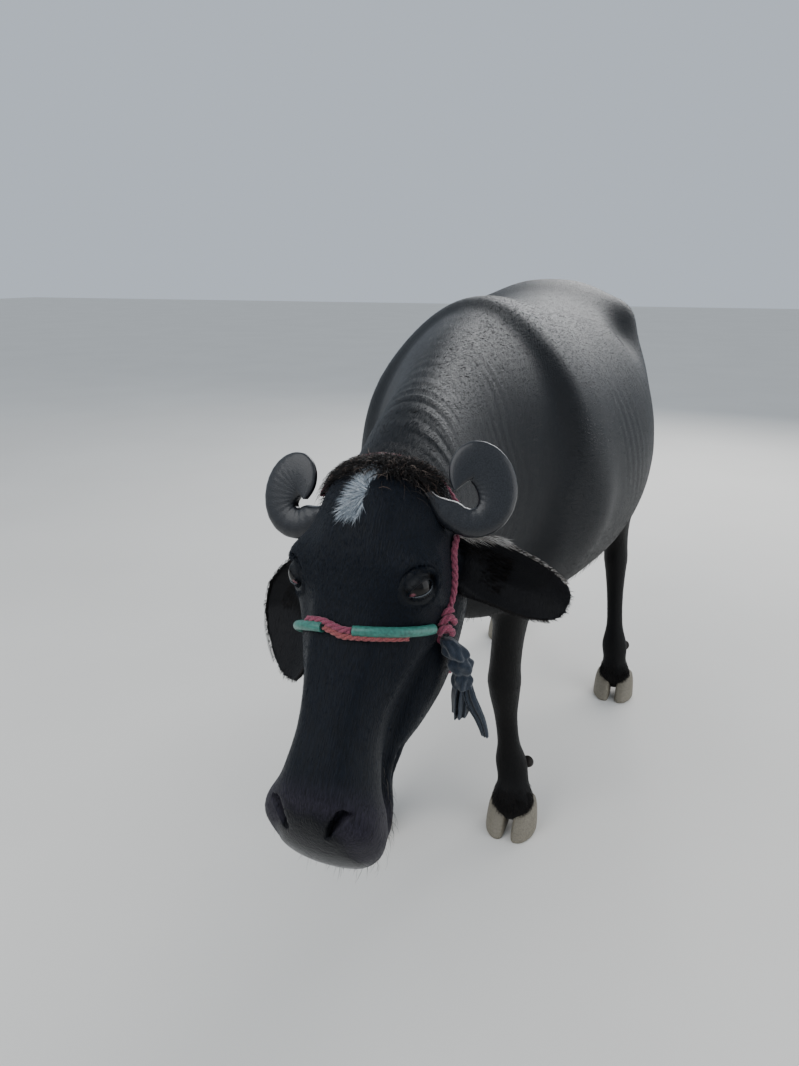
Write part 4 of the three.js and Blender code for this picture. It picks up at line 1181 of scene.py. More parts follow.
def noseband_at(degrees: float) -> float:
    """Distance of the noseband from the poll, at a turn round the nose."""
    return 229 - (36 if degrees > 0 else 7) * (degrees / 88) ** 2


def noseband_route(start: float, end: float, lift: float,
                   shift: Callable[[float], float] = lambda degrees: 0.0) -> Array:
    """Places round the nose, pressed in at the far right.

    Args:
        start: First turn round the nose, in degrees.
        end: Last turn.
        lift: Height above the skin.
        shift: How far towards the muzzle the route lies at a turn.

    Returns:
        Places in the head's frame.
    """
    turns = np.linspace(start, end, max(4, round(abs(end - start) / 8) + 1))
    lifts = lift - 5 * ramp(42, 68, -turns)
    places = zip(turns, lifts)
    return np.array([on_head(noseband_at(turn) + shift(turn), turn, high) for turn, high in places])


ROPE_RADIUS, STRAND_RADIUS, HOSE_RADIUS = 4.5, 3.9, 6.5
# A way that no rope follows, which keeps the strands from twisting by themselves
ROPE_UP = (0.31, 0.52, 0.79)


@dataclass(frozen=True)
class Rope:
    """Laid rope: strands twisted round a path."""

    radius: float
    pitch: float
    strands: int = 3
    sides: int = 10
    step: float = 1.5

    def shell(self, route: Array) -> Shell:
        """Each strand's middle runs on a helix round the path, and its section is a circle."""
        path = smooth_path(route, max(12, int(run_of(route)[-1] / self.step)))
        across, over = tube_frames(path, ROPE_UP)
        radius = np.full(len(path), self.radius * 0.54)
        shells = []
        for n in range(self.strands):
            turn = 2 * math.pi * (run_of(path) / self.pitch + n / self.strands)
            offset = np.cos(turn)[:, None] * across + np.sin(turn)[:, None] * over
            shells.append(sweep(path + offset * self.radius * 0.5, radius, ROPE_UP, self.sides))
        return together(shells)


@dataclass(frozen=True)
class Hose:
    """A length of garden hose, open at both cut ends."""

    radius: float
    wall: float = 2.0
    bore_depth: float = 20.0
    edge: float = 0.4

    def shell(self, route: Array) -> Shell:
        """One round profile that starts inside the bore, turns out over its edge and back at the far end."""
        path = smooth_path(route, 160)
        across, over = tube_frames(path, (0, 0, 1))
        inside = max(2, int(self.bore_depth / np.linalg.norm(path[1] - path[0])))
        last = len(path) - 1
        order = np.concatenate([[inside, 0, 0], np.arange(last + 1), [last, last, last - inside]])
        bore = self.radius - self.wall
        lip = [bore, bore, self.radius - self.edge]
        radii = np.concatenate([lip, np.full(last + 1, self.radius), lip[::-1]])[:, None]
        turns = around(28)
        return loft(rings_along(
            path[order], across[order], over[order], radii * np.cos(turns), radii * np.sin(turns)))


KNOT_AT = {1: 188.0, -1: 219.0}
KNOT_TURN = {1: 89.0, -1: 103.0}
CHEEK_PLACES = ((152, 88, 3), (125, 86, 3), (100, 84, 3), (78, 86, 4), (60, 92, 6), (44, 96, 10))
CHIN_AT = 232.0
CHIN_TURNS = (92, 106, 122, 140, 160, 180, -165, -150, -136, -121, -106)
CROWN_SIDES, CROWN_MIDDLE = -762.0, -790.0
CROWN_TURNS = (72, 48, 24, 0, -24, -48, -72)


def cheek_route(side: int) -> Array:
    """Places from the knot up the cheek to the neck, on the animal's left for side 1."""
    first = [(178, 88, 3)] if side > 0 else [(KNOT_AT[-1] - 8, KNOT_TURN[-1] - 3, 3), (186, 96, 3)]
    return np.array([
        on_head(along, side * degrees, lift if side > 0 else 2 * lift - 3)
        for along, degrees, lift in (*first, *CHEEK_PLACES)])


def crown_route() -> Array:
    """Places over the neck behind the poll, left to right, further back in the middle.

    Each is the neck's own surface at a distance behind the poll, which is found by stepping along the
    neck's sections, lifted off the hair at the sides.
    """
    points = []
    for turn in np.radians(CROWN_TURNS):
        at = lerp(CROWN_SIDES, CROWN_MIDDLE, math.cos(turn) ** 2)
        place = np.interp(-at, -NECK[:, 0], np.arange(len(NECK)))
        for _ in range(12):
            place += (-at + through(NECK, np.array([place]))[0, 0]) / 110
        point = section_points(NECK, np.array([place]), np.array([turn]))[0, 0]
        lift = ROPE_RADIUS + (13 if turn > 0 else 22) * math.sin(turn) ** 4
        points.append(point + lift * np.array([math.sin(turn), 0, math.cos(turn)]))
    return body_to_head(np.array(points))


def chin_route() -> Array:
    """Places under the jaw from one knot to the other, sagging towards the muzzle by a sine."""
    share = np.linspace(0, 1, len(CHIN_TURNS))
    ends = lerp(KNOT_AT[1], KNOT_AT[-1], share)
    along = ends + 4 + (CHIN_AT - ends) * np.sin(math.pi * share)
    return np.array([on_head(a, d, ROPE_RADIUS - 2) for a, d in zip(along, CHIN_TURNS)])


def knot_route(side: int) -> Array:
    """Rope wound in two and a half turns over itself round the cheek's corner of the halter."""
    place = on_head(KNOT_AT[side], side * KNOT_TURN[side], 7)
    u = np.linspace(0, 1, 40)
    turn = 2 * math.pi * 2.6 * u + 0.6
    local = np.stack([
        side * (2.5 + 7.5 * np.cos(turn)),
        12 * np.cos(math.pi * u * 1.1) + 3 * np.sin(2 * turn),
        11.5 * np.sin(turn),
    ], axis=1)
    return place + local


@dataclass
class Halter:
    """The rope and hose halter, piece by piece, in the head's frame."""

    rope: Rope = Rope(ROPE_RADIUS, 30.0)
    strand: Rope = Rope(STRAND_RADIUS, 26.0)
    hose: Hose = Hose(HOSE_RADIUS)

    def shells(self) -> dict[str, Shell]:
        """Every piece by its CAD node's name."""
        on_rope, on_hose = ROPE_RADIUS - 1, HOSE_RADIUS - 2
        nose = noseband_route(-30, 13, on_rope, lambda turn: -8 * float(ramp(0, 24, 8 - turn)))
        strand = noseband_route(-11, 56, on_rope, lambda turn: 7.5 * float(ramp(-11, 6, turn)))
        return {
            "halter_hose_long": self.hose.shell(noseband_route(14, 76, on_hose)),
            "halter_hose_short": self.hose.shell(noseband_route(-92, -12, on_hose)),
            "halter_nose_rope": self.rope.shell(nose),
            "halter_nose_strand": self.strand.shell(strand),
            "halter_chin_rope": self.rope.shell(chin_route()),
            "halter_headstall": together(
                [self.rope.shell(route) for route in (cheek_route(1), cheek_route(-1), crown_route())]),
            "halter_knot_left": self.rope.shell(knot_route(1)),
            "halter_knot_right": self.rope.shell(knot_route(-1)),
        }


# Cloth: a strip knotted below the left cheek, in the withers' frame

CLOTH_TOP = np.array([196.0, -886.0, 938.0])
CLOTH_KNOT = ((0, 0, 0, 8), (8, 4, -14, 15), (16, 8, -34, 17), (18, 12, -56, 14), (18, 14, -74, 12))
CLOTH_SHORT = ((18, 14, -62, 12), (16, 14, -90, 15), (15, 15, -118, 13))
CLOTH_LONG = ((20, 14, -62, 11), (27, 17, -92, 13), (40, 24, -122, 9), (48, 28, -148, 6))


@dataclass(frozen=True)
class ClothEnd:
    """One hanging end of the strip: thin cloth gathered in folds along its length."""

    path: tuple[tuple[float, float, float, float], ...]
    folds: float
    thick: float = 1.1

    def front(self) -> Array:
        """The front face, its width folded to and fro in depth by a cosine along the way across."""
        rows = smooth_path(self.path, 60)
        t = np.linspace(0, 1, 60)[:, None]
        q = np.linspace(-1, 1, 90)[None, :]
        turn = math.pi * self.folds * q + 1.3 * t + 0.4 * np.sin(5 * t)
        half = rows[:, 3][:, None]
        x = half * (0.8 * q + 0.2 * np.sin(turn * 1.3))
        y = (0.5 + 0.35 * t) * half * np.cos(turn) * (1 - 0.25 * q * q)
        fray = 2.2 * np.sin(17 * q + 2) * ramp(0.9, 1, t)
        return CLOTH_TOP + rows[:, None, :3] + np.stack([x, y, fray], axis=2)

    def shell(self) -> Shell:
        """The folded cloth with its thickness."""
        front = self.front()
        du, dv = np.gradient(front, axis=1), np.gradient(front, axis=0)
        half = unit(np.cross(du, dv)) * self.thick / 2
        return loft(np.concatenate([front + half, (front - half)[:, ::-1]], axis=1))

    def flat(self) -> tuple[float, float]:
        """Width and length of the end laid flat, in metres: its mean lengths across and along the folds."""
        front = self.front()
        width, length = (np.linalg.norm(np.diff(front, axis=n), axis=2).sum(axis=n).mean() for n in (1, 0))
        return float(width * MM), float(length * MM)


def cloth_knot_shell() -> Shell:
    """The knotted part: a bundle with creases that wind round it."""
    rows = smooth_path(CLOTH_KNOT, 90)
    t = np.linspace(0, 1, 90)[:, None]
    turns = around(64)[None, :]
    crease = 1 + 0.13 * np.sin(4 * turns + 9 * t) + 0.07 * np.sin(7 * turns - 14 * t + 1)
    waist = 1 - 0.24 * np.exp(-(((t - 0.42) / 0.05) ** 2)) - 0.2 * np.exp(-(((t - 0.72) / 0.05) ** 2))
    radius = rows[:, 3][:, None] * crease * waist
    x = radius * np.sin(turns)
    y = 0.85 * radius * np.cos(turns)
    return loft(CLOTH_TOP + rows[:, None, :3] + np.stack([x, y, 0 * x], axis=2))


# Coat


def surface_samples(mesh: bpy.types.Mesh, count: int, density: Place,
                    rng: np.random.Generator) -> tuple[Array, Array]:
    """Random places over a mesh, spread by area times a density.

    Args:
        mesh: A mesh in the row's frame, in metres.
        count: How many places.
        density: Share wanted at points of the withers' frame, 0 where nothing grows.
        rng: Seeded source of chance.

    Returns:
        Places and normals, places in millimetres of the withers' frame.
    """
    quads, tris = read_faces(mesh)
    faces = np.concatenate([tris, quads[:, [0, 1, 2]], quads[:, [0, 2, 3]]])
    points, normals = to_body(read_points(mesh)), read_normals(mesh)
    corner = points[faces]
    area = np.linalg.norm(np.cross(corner[:, 1] - corner[:, 0], corner[:, 2] - corner[:, 0]), axis=1)
    weight = area * density(corner.mean(axis=1))
    pick = np.searchsorted(np.cumsum(weight), rng.random(count) * weight.sum())
    pick = np.minimum(pick, len(faces) - 1)
    a, b = rng.random(count), rng.random(count)
    over = a + b > 1
    a[over], b[over] = 1 - a[over], 1 - b[over]
    share = np.stack([1 - a - b, a, b], axis=1)[:, :, None]
    return (points[faces[pick]] * share).sum(axis=1), unit((normals[faces[pick]] * share).sum(axis=1))


WHORL = np.array([4.0, -54.0, 0.0])


def lie_of_hair(body: Array, normals: Array) -> Array:
    """Which way the hair lies at places on the skin.

    It runs back and down on the trunk, down on the legs and tail, and on the head out from the
    whorl on the forehead and on towards the muzzle.

    Args:
        body: Places in the withers' frame.
        normals: The skin's normals there.

    Returns:
        A way along the skin for every place.
    """
    fall = -0.3 - 0.7 * ramp(900, 600, body[:, 2])
    back = np.stack([0.12 * np.sign(body[:, 0]), 1 + 0 * fall, fall], axis=1)
    down = np.array([0.0, 0.22, -1.0])
    legs = leg_share(body)[:, None] * (body[:, 1] > -300)[:, None]
    tail = (ramp(1195, 1225, body[:, 1]) * (body[:, 2] < 1240))[:, None]
    trunk = lerp(back, down, np.clip(legs + tail, 0, 1))
    local = body_to_head(body)
    away = local - WHORL
    near = (1 - ramp(50, 130, np.linalg.norm(away[:, :2], axis=1)))[:, None]
    face = lerp(np.array([0.0, -1.0, -0.25]), unit(away * [1, 1, 0.3]), near) @ TURN.T
    lie = lerp(trunk, face, head_share(body)[:, None])
    for ear in EARS:
        way, _, _ = ear.frame()
        lie = lerp(lie, way @ TURN.T, ear_share(ear, local)[:, None])
    lie = lie - normals * (lie * normals).sum(axis=1, keepdims=True)
    return unit(lie)


def ear_share(ear: Ear, local: Array) -> Array:
    """1 on an ear and 0 off it, in the head's frame."""
    way, face, across = ear.frame()
    near = local - np.array(ear.root)
    along, side, out = near @ way, near @ across, near @ face
    inside = (along > 8) & (along < ear.length + 8) & (np.abs(out) < 42)
    inside &= (side > -ear.half_width - 8) & (side < ear.half_width + ear.flare + 8)
    clear = ramp(96, 104, np.abs(local[:, 0]))
    return inside * clear


def turn_share(across: Array, up: Array) -> Array:
    """The angle of places round an axis, as a share of a full turn."""
    return np.arctan2(across, up) / (2 * math.pi) + 0.5


def unwrap(body: Array) -> Array:
    """Where places lie on a flat layout of the skin, which gives each region a rectangle of its own.

    Across a rectangle runs the turn round the region, and up it the way along the region. The trunk
    takes the left half, the legs the lower right, and head and ears the upper right.

    Args:
        body: Places in the withers' frame.

    Returns:
        One pair of coordinates from 0 to 1 per place.
    """
    local = body_to_head(body)
    head = head_share(body) > 0.5
    legs = (leg_share(body) > 0.6) & ~head
    u = 0.02 + 0.46 * turn_share(body[:, 0], body[:, 2] - 900)
    v = 0.02 + 0.96 * np.clip((body[:, 1] + 860) / 2120, 0, 1)
    u = np.where(head, 0.52 + 0.22 * turn_share(local[:, 0], local[:, 2] - HEAD_AXIS), u)
    v = np.where(head, 0.5 + 0.48 * np.clip((30 - local[:, 1]) / 560, 0, 1), v)
    for number, ear in enumerate(EARS):
        way, _, across = ear.frame()
        near = local - np.array(ear.root)
        on = ear_share(ear, local) > 0.5
        u = np.where(on, 0.77 + 0.2 * np.clip(0.5 + near @ across / 220, 0, 1), u)
        v = np.where(on, 0.5 + 0.25 * number + 0.22 * np.clip(near @ way / 200, 0, 1), v)
    for number, foot in enumerate(FEET):
        hind = "hind" in foot.name
        mine = legs & (np.sign(body[:, 0] + 20 * hind) == foot.side) & ((body[:, 1] > 380) == hind)
        turn = turn_share(body[:, 0] - foot.x, body[:, 1] - foot.y)
        u = np.where(mine, 0.52 + 0.115 * number + 0.1 * turn, u)
        v = np.where(mine, 0.02 + 0.44 * np.clip(body[:, 2] / 900, 0, 1), v)
    return np.stack([u, v], axis=1)


STAR_TOP, STAR_LENGTH = -24.0, 60.0
# From horn to horn over the poll, in the head's frame
FRINGE_LINE = ((-118, -30, -16), (-70, -6, 2), (-14, 4, 10), (40, 2, 4), (94, -10, -8))


def star_share(local: Array) -> Array:
    """Share of white hair on the forehead: a ragged streak that widens downwards, in the head's frame."""
    x, y = local[:, 0], local[:, 1]
    down = (STAR_TOP - y) / STAR_LENGTH
    middle = 6 - 9 * down + 1.5 * np.sin(y / 3.1)
    across = np.abs(x - middle) / (4.5 + 7.5 * np.clip(down, 0, 1))
    ends = ramp(-0.05, 0.1, down) * (1 - ramp(0.9, 1.05, down))
    return (1 - ramp(0.7, 1.15, across)) * ends * (local[:, 2] > -30)


def hide_colour(body: Array) -> Array:
    """Colours of skin and hair at places on the animal, in linear light.

    Blue-black on the head and trunk, the blue partly the skin's own slate tone and partly a painted
    reflection of the sky, brown-black on the legs and inside the ears, mauve-grey over the muzzle, dark grey
    on the wet nose and the udder, and grey under the white star.
    """
    local = body_to_head(body)
    head = head_share(body)[:, None]
    # The blue in the trunk's and the face's colours is partly the slate skin's own tone and partly a painted
    # reflection of the blue sky on the glossy hide.
    names = ("#0c1016", "#0a111b", "#0f0e0e", "#35303b", "#0c0e14", "#8e979f", "#120f0e", "#1c1a1b")
    trunk, face, leg, mauve, nose, star, ear, bag = (np.array(linear(code)) for code in names)
    tone = lerp(trunk, leg, leg_share(body)[:, None])
    udder = bump(body, 0, 872, 560, 130, 150, 110)[:, None]
    tone = lerp(tone, bag, np.clip(udder * 1.3, 0, 1))
    tone = lerp(tone, face, head)
    muzzle = ramp(395, 440, -local[:, 1]) * ramp(-150, -110, local[:, 2])
    tone = lerp(tone, mauve, 0.65 * head * muzzle[:, None])
    tone = lerp(tone, nose, head * wet_plate(local)[:, None])
    tone = lerp(tone, ear, 0.7 * sum(ear_share(e, local) for e in EARS)[:, None])
    return lerp(tone, star, 0.14 * head * star_share(local)[:, None])


# How far apart a tuft's corners, and its root and tip, lie on the flat layout
PATCH = (0.0012, 0.0028)


@dataclass
class Tufts:
    """Many tufts of hair, one row each: where they root, how they lie and how long they are."""

    root: Array
    normal: Array
    lie: Array
    length: Array
    width: Array
    rise: Array
    tone: Array
    sag: float = 0.0
    segments: int = 1

    def shell(self) -> Shell:
        """Three-sided spikes that taper to a point and bend back down to the skin.

        A tuft's middle line leaves the skin at its rise and falls back with the square of the way
        along it. Its root triangle is sunk into the skin.
        """
        count, parts = len(self.root), self.segments
        across = unit(np.cross(self.normal, self.lie))
        rings = []
        for k in range(parts):
            s = k / parts
            taper = (self.width * (1 - s) ** 0.7)[:, None]
            middle = self.middle(s)
            half = across * taper / 2
            rings += [middle - half, middle + self.normal * taper * 0.45, middle + half]
        points = np.stack([*rings, self.middle(1.0)], axis=1)
        base = (np.arange(count) * points.shape[1])[:, None, None]
        top = 3 * (parts - 1)
        ends = [(top + j, top + (j + 1) % 3, top + 3) for j in range(3)] + [(0, 2, 1)]
        quads = (base + grid_faces(parts, 3)[None]).reshape(-1, 4)
        tris = (base + np.array(ends)[None]).reshape(-1, 3)
        return facing_out(Shell(points.reshape(-1, 3), quads, tris))

    def middle(self, s: float) -> Array:
        """The middle line's points at a share of the way along."""
        out = self.length * (np.sin(self.rise) * s * (1 - 0.72 * s))
        along = self.length * np.cos(self.rise) * s
        sunk = 0.9 * (1 - s) ** 4
        down = np.array([0, 0, -1]) * (self.sag * self.length * s * s)[:, None]
        return self.root + self.lie * along[:, None] + self.normal * (out - sunk)[:, None] + down

    def object(self, name: str) -> bpy.types.Object:
        """The tufts as one piece, with a tone per point and a patch of the bake layout per tuft."""
        shell = self.shell()
        piece = make_object(name, shell.moved(to_row), smooth=False)
        mesh = piece.data
        per = 3 * self.segments + 1
        write_tone(mesh, np.repeat(self.tone, per, axis=0))
        number = np.arange(per)
        up = np.minimum(number // 3 / self.segments, 1)
        patch = np.stack([number % 3 * PATCH[0], up * PATCH[1]], axis=1)
        place = np.repeat(unwrap(self.root), per, axis=0) + np.tile(patch, (len(self.root), 1))
        corners = read_numbers(mesh.loops, "vertex_index")
        flat = mesh.uv_layers.new(name="OFBake")
        flat.uv.foreach_set("vector", place[corners].astype(np.float32).ravel())
        return piece


# Short coat and locks


@dataclass(frozen=True)
class Zone:
    """A part of the short coat: how many tufts it takes and their size in millimetres."""

    name: str
    count: int
    length: float
    width: float
    share: Place


def on_trunk(body: Array) -> Array:
    """Whether places lie on the trunk or neck."""
    return (head_share(body) < 0.5) & (leg_share(body) < 0.6)


def between(low: float, high: float) -> Place:
    """A test for places on the trunk between two distances from the withers."""
    return lambda body: (body[:, 1] >= low) & (body[:, 1] < high) & on_trunk(body)


ZONES = (
    Zone("coat_face", 46000, 8.0, 1.1, lambda body: head_share(body) >= 0.5),
    Zone("coat_neck", 44000, 12.0, 1.2, between(-900, -120)),
    Zone("coat_fore", 48000, 13.0, 1.3, between(-120, 480)),
    Zone("coat_hind", 48000, 13.0, 1.3, between(480, 1400)),
    Zone("coat_legs", 44000, 11.0, 1.2, lambda body: (head_share(body) < 0.5) & (leg_share(body) >= 0.6)),
)


@dataclass(frozen=True)
class LongHair:
    """Sparse longer hair of the trunk, where it faces down or up."""

    name: str
    count: int
    length: tuple[float, float]
    rise: tuple[float, float]
    sag: float
    facing: float
    share: Place


def under_trunk(body: Array) -> Array:
    """Whether places lie in front of the udder and off the head and the lower legs."""
    return (leg_share(body) < 0.9) & (head_share(body) < 0.5) & (body[:, 1] < 700)


def over_withers(body: Array) -> Array:
    """A bell across the nape and withers, which lie a little to the left."""
    return np.exp(-(((body[:, 0] - 40) / 90) ** 2)) * (body[:, 1] < 120) * (head_share(body) < 0.3)


LONG_HAIR = (
    LongHair("hair_belly", 2600, (16, 34), (8, 24), 0.3, -1.0, under_trunk),
    LongHair("hair_nape", 700, (8, 15), (3, 9), 0.0, 1.0, over_withers),
)
FACING = 0.62
HOOF_RIM = 74.0


def grown(body: Array) -> Array:
    """1 where short hair grows and 0 on the hoofs' rims, the wet nose, the lids and the nostrils."""
    local = body_to_head(body)
    lid = EYE_PLACE + 8 * EYE_LOOK
    eyes = np.minimum(*(np.linalg.norm(local - lid * [side, 1, 1], axis=1) for side in (1, -1)))
    head = head_share(body) > 0.5
    bare = head & ((wet_plate(local) > 0.5) | (eyes < 20) | (nostril_depth(local) > -0.35))
    return ~bare & (body[:, 2] > HOOF_RIM)


@dataclass
class Coat:
    """All hair of the animal, grown from the finished skin."""

    skin: bpy.types.Mesh
    rng: np.random.Generator

    def chance(self, low: float, high: float, count: int) -> Array:
        """Even random numbers between two values."""
        return self.rng.uniform(low, high, count)

    def sample(self, count: int, density: Place) -> tuple[Array, Array]:
        """Random places and normals on the skin."""
        return surface_samples(self.skin, count, density, self.rng)

    def shades(self, count: int, *codes: str) -> Array:
        """A colour for every tuft, picked at random from a few, with a small change of its own."""
        base = np.array([linear(code) for code in codes])[self.rng.integers(0, len(codes), count)]
        return base * self.chance(0.7, 1.3, count)[:, None]

    def scattered(self, way: Array, amount: float) -> Array:
        """Ways turned a little, each by chance."""
        return unit(way + amount * self.rng.normal(size=way.shape))

    def tufts(self, root: Array, normal: Array, way: Array, length: tuple[float, float], width: float,
              rise: tuple[float, float], tone: Array, sag: float = 0.0, segments: int = 1) -> Tufts:
        """Tufts that lie along a way and stand off the skin by a random rise, in degrees.

        Args:
            root: Places on the skin.
            normal: The skin's normals there.
            way: Where each tuft points, made to lie along the skin here.
            length: Shortest and longest, in millimetres.
            width: Middle width at the root.
            rise: Least and greatest angle off the skin.
            tone: A colour per tuft.
            sag: Share of its length by which a tip hangs.
            segments: Parts along a tuft.
        """
        count = len(root)
        flat = unit(way - normal * (way * normal).sum(axis=1, keepdims=True))
        return Tufts(root, normal, flat, self.chance(*length, count), width * self.chance(0.7, 1.3, count),
                     np.radians(self.chance(*rise, count)), tone, sag, segments)

    def short(self, zone: Zone) -> Tufts:
        """The flat coat of one zone."""
        root, normal = self.sample(zone.count, lambda body: zone.share(body) * grown(body))
        way = self.scattered(lie_of_hair(root, normal), 0.12)
        tone = hide_colour(root) * self.chance(0.5, 2.1, zone.count)[:, None]
        size = 1 - 0.45 * (1 - ramp(90, 260, root[:, 2]))
        size *= 1 - 0.35 * (zone.name == "coat_face") * ramp(280, 430, -body_to_head(root)[:, 1])
        length = (0.7 * zone.length, 1.2 * zone.length)
        tufts = self.tufts(root, normal, way, length, zone.width, (6, 14), tone)
        tufts.length = tufts.length * size
        return tufts

    def fringe(self) -> Tufts:
        """Messy longer hair over the poll between the horns."""
        line = smooth_path(FRINGE_LINE, 40)

        def near(body: Array) -> Array:
            """A bell round the line, with the star left out."""
            local = body_to_head(body)
            far = np.min([np.linalg.norm((local - place) * [1, 0.9, 0.4], axis=1) for place in line], axis=0)
            return np.exp(-((far / 15) ** 2)) * (star_share(local) < 0.2)

        count = 4200
        root, normal = self.sample(count, near)
        local = body_to_head(root)
        parting = np.where(local[:, 1] > -16, 0.55, -0.5)
        way = np.stack([local[:, 0] / 70, parting, 0.25 + 0 * parting], axis=1)
        way = self.scattered(way, 0.5) @ TURN.T
        dark = self.shades(count, "#0d0b0b", "#15110f", "#1d1714", "#0a0909")
        pale = self.shades(count, "#5c4c44", "#7d6f66", "#3b302a")
        tone = np.where((self.rng.random(count) < 0.12 + 0.35 * (local[:, 1] > 0))[:, None], pale, dark)
        return self.tufts(root, normal, way, (20, 44), 1.2, (25, 75), tone, 0.06, 3)

    def star(self) -> Tufts:
        """White hair that runs out from the whorl on the forehead."""
        count = 1300
        root, normal = self.sample(count, lambda body: head_share(body) * star_share(body_to_head(body)))
        away = body_to_head(root) - WHORL
        way = np.stack([away[:, 0] - 8, away[:, 1] * 0.8, 0 * away[:, 0]], axis=1)
        way = self.scattered(unit(way), 0.26) @ TURN.T
        tone = self.shades(count, "#c3cbd2", "#9aa5ae", "#dde2e6", "#727c85")
        return self.tufts(root, normal, way, (13, 27), 0.8, (8, 30), tone, 0.0, 2)

    def ear_hair(self, ear: Ear) -> Tufts:
        """Longer hair along both edges of an ear and inside its cup, pale near the root of the left ear's
        upper edge: partly white hair and partly painted backlight.
        """
        count = 2600
        part = self.rng.integers(0, 4, count)
        t = self.chance(0.04, 0.9, count)
        rims = [self.chance(0.9, 0.985, count), -self.chance(0.9, 0.985, count)]
        q = np.select([part == 0, part < 3], rims, self.chance(-0.6, 0.6, count))
        t = np.where(part == 3, 0.05 + 0.5 * (t - 0.04), t)
        way, face, _ = ear.frame()
        root = ear.surface(t, q)
        edge = unit(root - ear.surface(t, q * 0.8)) * (np.abs(q) > 0.8)[:, None]
        inner = (part == 3)[:, None]
        outwards = (0.5 + 0.7 * (1 - ramp(0.2, 0.45, t)))[:, None]
        lie = self.scattered(way * 0.9 + edge * outwards + inner * face * 0.2, 0.14)
        normal = np.where(inner, face, unit(face * 0.35 + edge))
        # Pale hair on the left ear's upper edge only, near its root: partly white hair, partly painted
        # backlight where the sun from behind shines through these hairs.
        upper = ((part == 1) | (part == 2)) & (ear.side > 0)
        dark = self.shades(count, "#0d0b0a", "#15110f", "#1d1815", "#100e0d")
        pale = self.shades(count, "#bdb8b2", "#dcd9d4", "#968f87")
        share = upper * (0.3 + 0.5 * (1 - ramp(0.25, 0.5, t)))
        tone = np.where((self.rng.random(count) < share)[:, None], pale, dark)
        tufts = self.tufts(root, normal, lie, (0.7, 1.3), 0.75, (6, 26), tone, 0.05, 2)
        tufts.length *= 6 + upper * 22 * (1 - ramp(0.22, 0.5, t)) + 5 * (part == 3)
        tufts.root, tufts.normal, tufts.lie = head_to_body(root), normal @ TURN.T, tufts.lie @ TURN.T
        return tufts

    def tail_switch(self) -> Tufts:
        """Long hair at the end of the tail."""
        count = 1100
        z = self.chance(430, 640, count)
        turn = self.chance(0, 2 * math.pi, count)
        table = TAIL[::-1]
        x, y, radius = (np.interp(z, table[:, 2], table[:, n]) for n in (0, 1, 3))
        normal = np.stack([np.cos(turn), np.sin(turn), 0 * turn], axis=1)
        root = np.stack([x, y, z], axis=1) + normal * (0.6 * radius)[:, None]
        way = self.scattered(np.array([0.0, 0.02, -1.0]) + 0.1 * normal, 0.05)
        tone = self.shades(count, "#100e0d", "#1a1512", "#261d18", "#3d3129")
        tufts = self.tufts(root, normal, way, (0.75, 1.0), 2.4, (3, 9), tone, 0.0, 3)
        tufts.length = tufts.length * np.minimum(z - 236, 215)
        return tufts

    def long_hair(self, kind: LongHair) -> Tufts:
        """Longer hair under the belly and brisket, or along the nape and withers."""
        root, normal = self.sample(3 * kind.count, lambda body: kind.share(body) * grown(body))
        keep = np.flatnonzero(kind.facing * normal[:, 2] > FACING)[:kind.count]
        root, normal = root[keep], normal[keep]
        tone = self.shades(len(root), "#0f0e0e", "#15120f", "#1c1816", "#0c0f14")
        way = self.scattered(lie_of_hair(root, normal), 0.22)
        return self.tufts(root, normal, way, kind.length, 1.3, kind.rise, tone, kind.sag, 2)

    def foot_hair(self) -> Tufts:
        """Coarser hair that hangs from the fetlock and the hoofs' upper rims over the claws."""
        count = 5200
        root, normal = self.sample(count, lambda body: (body[:, 2] > 66) * (1 - ramp(84, 120, body[:, 2])))
        way = self.scattered(np.array([0.0, -0.12, -1.0]) + 0.2 * normal, 0.16)
        tone = self.shades(count, "#0c0b0b", "#141110", "#1d1815")
        return self.tufts(root, normal, way, (11, 24), 1.2, (14, 34), tone, 0.04, 2)

    def lashes(self, side: int) -> Tufts:
        """Lashes along the upper lid, and a few along the lower."""
        eye = Eye(side)
        turn = np.concatenate([self.chance(0.25, 2.9, 52), self.chance(3.5, 5.9, 18)])
        count = len(turn)
        high = np.where(np.sin(turn) > 0, eye.upper, eye.lower)
        px, py = eye.corner * 1.05 * np.cos(turn), (high + 1.0) * np.sin(turn) - eye.drop
        root = eye_point(px, py, np.sqrt(EYE_RADIUS**2 - px**2 - py**2) + 1.2)
        fan = EYE_RISE * np.sign(np.sin(turn))[:, None] * 0.8 + EYE_SLANT * (px / 26)[:, None]
        way = self.scattered(fan, 0.1)
        normal = np.tile(EYE_LOOK, (count, 1))
        tone = self.shades(count, "#0d0b0a", "#15110f")
        tufts = self.tufts(root, normal, way, (8, 15), 0.5, (35, 60), tone, 0.0, 3)
        flip = np.array([side, 1, 1])
        tufts.root = head_to_body(tufts.root * flip)
        tufts.normal, tufts.lie = (tufts.normal * flip) @ TURN.T, (tufts.lie * flip) @ TURN.T
        return tufts

    def lid_hair(self, lids: bpy.types.Mesh, side: int) -> Tufts:
        """Very short hair over the outer part of the lids, running out from the eye."""
        centre = EYE_PLACE * [side, 1, 1]

        def outer(body: Array) -> Array:
            """0 near the eye's opening and 1 beyond its rim."""
            near = body_to_head(body) - centre
            out = near @ (EYE_LOOK * [side, 1, 1])
            return ramp(13, 19, np.sqrt(np.maximum((near**2).sum(axis=1) - out**2, 0)))

